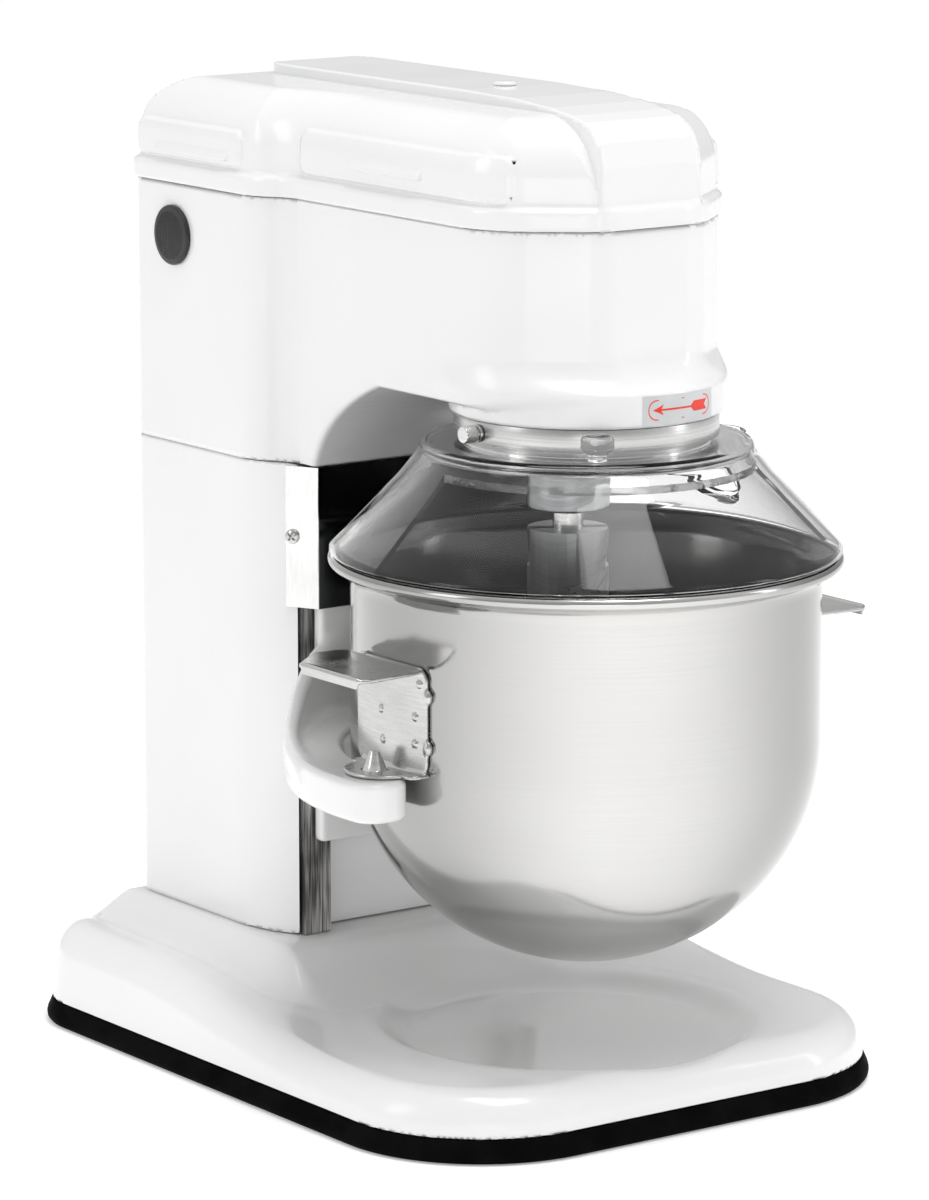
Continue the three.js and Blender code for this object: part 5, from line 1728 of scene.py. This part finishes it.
@dataclass
class Studio:
    """The floor, the lights and the camera."""

    camera_at: tuple = (-1.6084, -2.2052, 0.76885)
    camera_turn: tuple = (78.9, 0.0, -35.9)
    lens: float = 167.87
    dark_side: tuple = (-0.62, -0.74, 0.05)
    flank: tuple = (0.93, 0.36, 0.0)

    def build_camera(self) -> None:
        """Makes the camera and makes it the scene's own."""
        data = bpy.data.cameras.new("camera")
        data.lens = self.lens
        data.sensor_width = 36.0
        data.clip_end = 50.0
        camera = bpy.data.objects.new("camera", data)
        camera.location = self.camera_at
        camera.rotation_euler = [math.radians(a) for a in self.camera_turn]
        bpy.context.scene.collection.objects.link(camera)
        bpy.context.scene.camera = camera

    def light(self, name: str, at: Sequence[float], aim: Sequence[float], size: tuple[float, float],
              power: float) -> None:
        """Makes one rectangular softbox that points at aim."""
        data = bpy.data.lights.new(name, "AREA")
        data.shape = "RECTANGLE"
        data.size, data.size_y = size
        data.energy = power
        lamp = bpy.data.objects.new(name, data)
        lamp.location = at
        lamp.rotation_euler = (Vector(aim) - Vector(at)).to_track_quat("-Z", "Y").to_euler()
        bpy.context.scene.collection.objects.link(lamp)

    def build_world(self) -> None:
        """Makes the surroundings: white walls that darken towards the working side and the flank."""
        world = bpy.data.worlds.new("studio")
        bpy.context.scene.world = world
        world.use_nodes = True
        world.node_tree.nodes.clear()
        build = Nodes(world.node_tree)
        way = build.add("ShaderNodeTexCoord").outputs["Generated"]
        dark_side = Vector(self.dark_side).normalized()
        dot = build.add("ShaderNodeVectorMath", {0: way, 1: tuple(dark_side)}, operation="DOT_PRODUCT")
        facing = dot.outputs["Value"]
        level = build.ranged(facing, 0.2, 1.0, 0.74, 0.34)
        height = build.add("ShaderNodeSeparateXYZ", {0: way}).outputs[2]
        lift = build.ranged(height, 0.0, 0.9, 0.0, 0.1)
        flank = Vector(self.flank).normalized()
        dot = build.add("ShaderNodeVectorMath", {0: way, 1: tuple(flank)}, operation="DOT_PRODUCT")
        beside = dot.outputs["Value"]
        shade_side = build.ranged(beside, 0.6, 1.0, 0.0, 0.35)
        strength = build.math("SUBTRACT", build.math("ADD", level, lift), shade_side)
        seen = build.add("ShaderNodeLightPath").outputs["Is Camera Ray"]
        strength = build.math("MAXIMUM", strength, build.math("MULTIPLY", seen, 1.05))
        shade = build.add("ShaderNodeBackground", {"Color": (1.0, 1.0, 1.0, 1.0), "Strength": strength})
        build.add("ShaderNodeOutputWorld", {"Surface": shade.outputs[0]})

    def build_floor(self) -> None:
        """Makes the plain pale floor."""
        mesh = bpy.data.meshes.new("floor")
        half = 12.0
        corners = [(-half, -half, 0.0), (half, -half, 0.0), (half, half, 0.0), (-half, half, 0.0)]
        mesh.from_pydata(corners, [], [[0, 1, 2, 3]])
        floor = bpy.data.objects.new("floor", mesh)
        bpy.context.scene.collection.objects.link(floor)
        paper = bpy.data.materials.new("studio_paper")
        paper.use_nodes = True
        shader = paper.node_tree.nodes["Principled BSDF"]
        shader.inputs["Base Color"].default_value = (0.97, 0.97, 0.97, 1.0)
        shader.inputs["Roughness"].default_value = 0.95
        shader.inputs["Specular IOR Level"].default_value = 0.0
        shader.inputs["Emission Color"].default_value = (1.0, 1.0, 1.0, 1.0)
        shader.inputs["Emission Strength"].default_value = 0.3
        mesh.materials.append(paper)

    def build(self) -> None:
        """Makes the whole studio."""
        bpy.context.scene.view_settings.view_transform = "Standard"
        self.build_world()
        self.build_floor()
        middle = (0.0, 0.0, 0.25)
        self.light("key", (-2.6, 0.5, 1.3), middle, (0.8, 1.5), 7.0)
        self.light("top", (0.0, -0.6, 2.4), middle, (0.9, 1.3), 21.0)
        self.light("right", (1.9, -1.7, 0.9), middle, (0.35, 1.5), 4.0)
        self.light("fill", (-1.5, -2.4, 0.2), middle, (1.2, 0.4), 2.0)


def corners(bounds: tuple) -> list[list[float]]:
    """A box as plain lists of numbers."""
    return [[float(c) for c in corner] for corner in bounds]


def main() -> None:
    """Builds the camera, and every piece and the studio."""
    logging.basicConfig(level=logging.INFO, format="%(message)s")
    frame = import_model()
    studio = Studio()
    studio.build_camera()
    plan = Plan()
    parts = (
        Base(plan), Column(plan), Head(plan), Cover(plan), Carriage(),
        Bowl(), RailCover(), Guard(), Drive(), Controls(),
    )
    for part in parts:
        part.build()
    for name, (finish, bevel) in KEPT.items():
        dress(frame["nodes"][name], finish, bevel)
    studio.build()


if __name__ == "__main__":
    main()
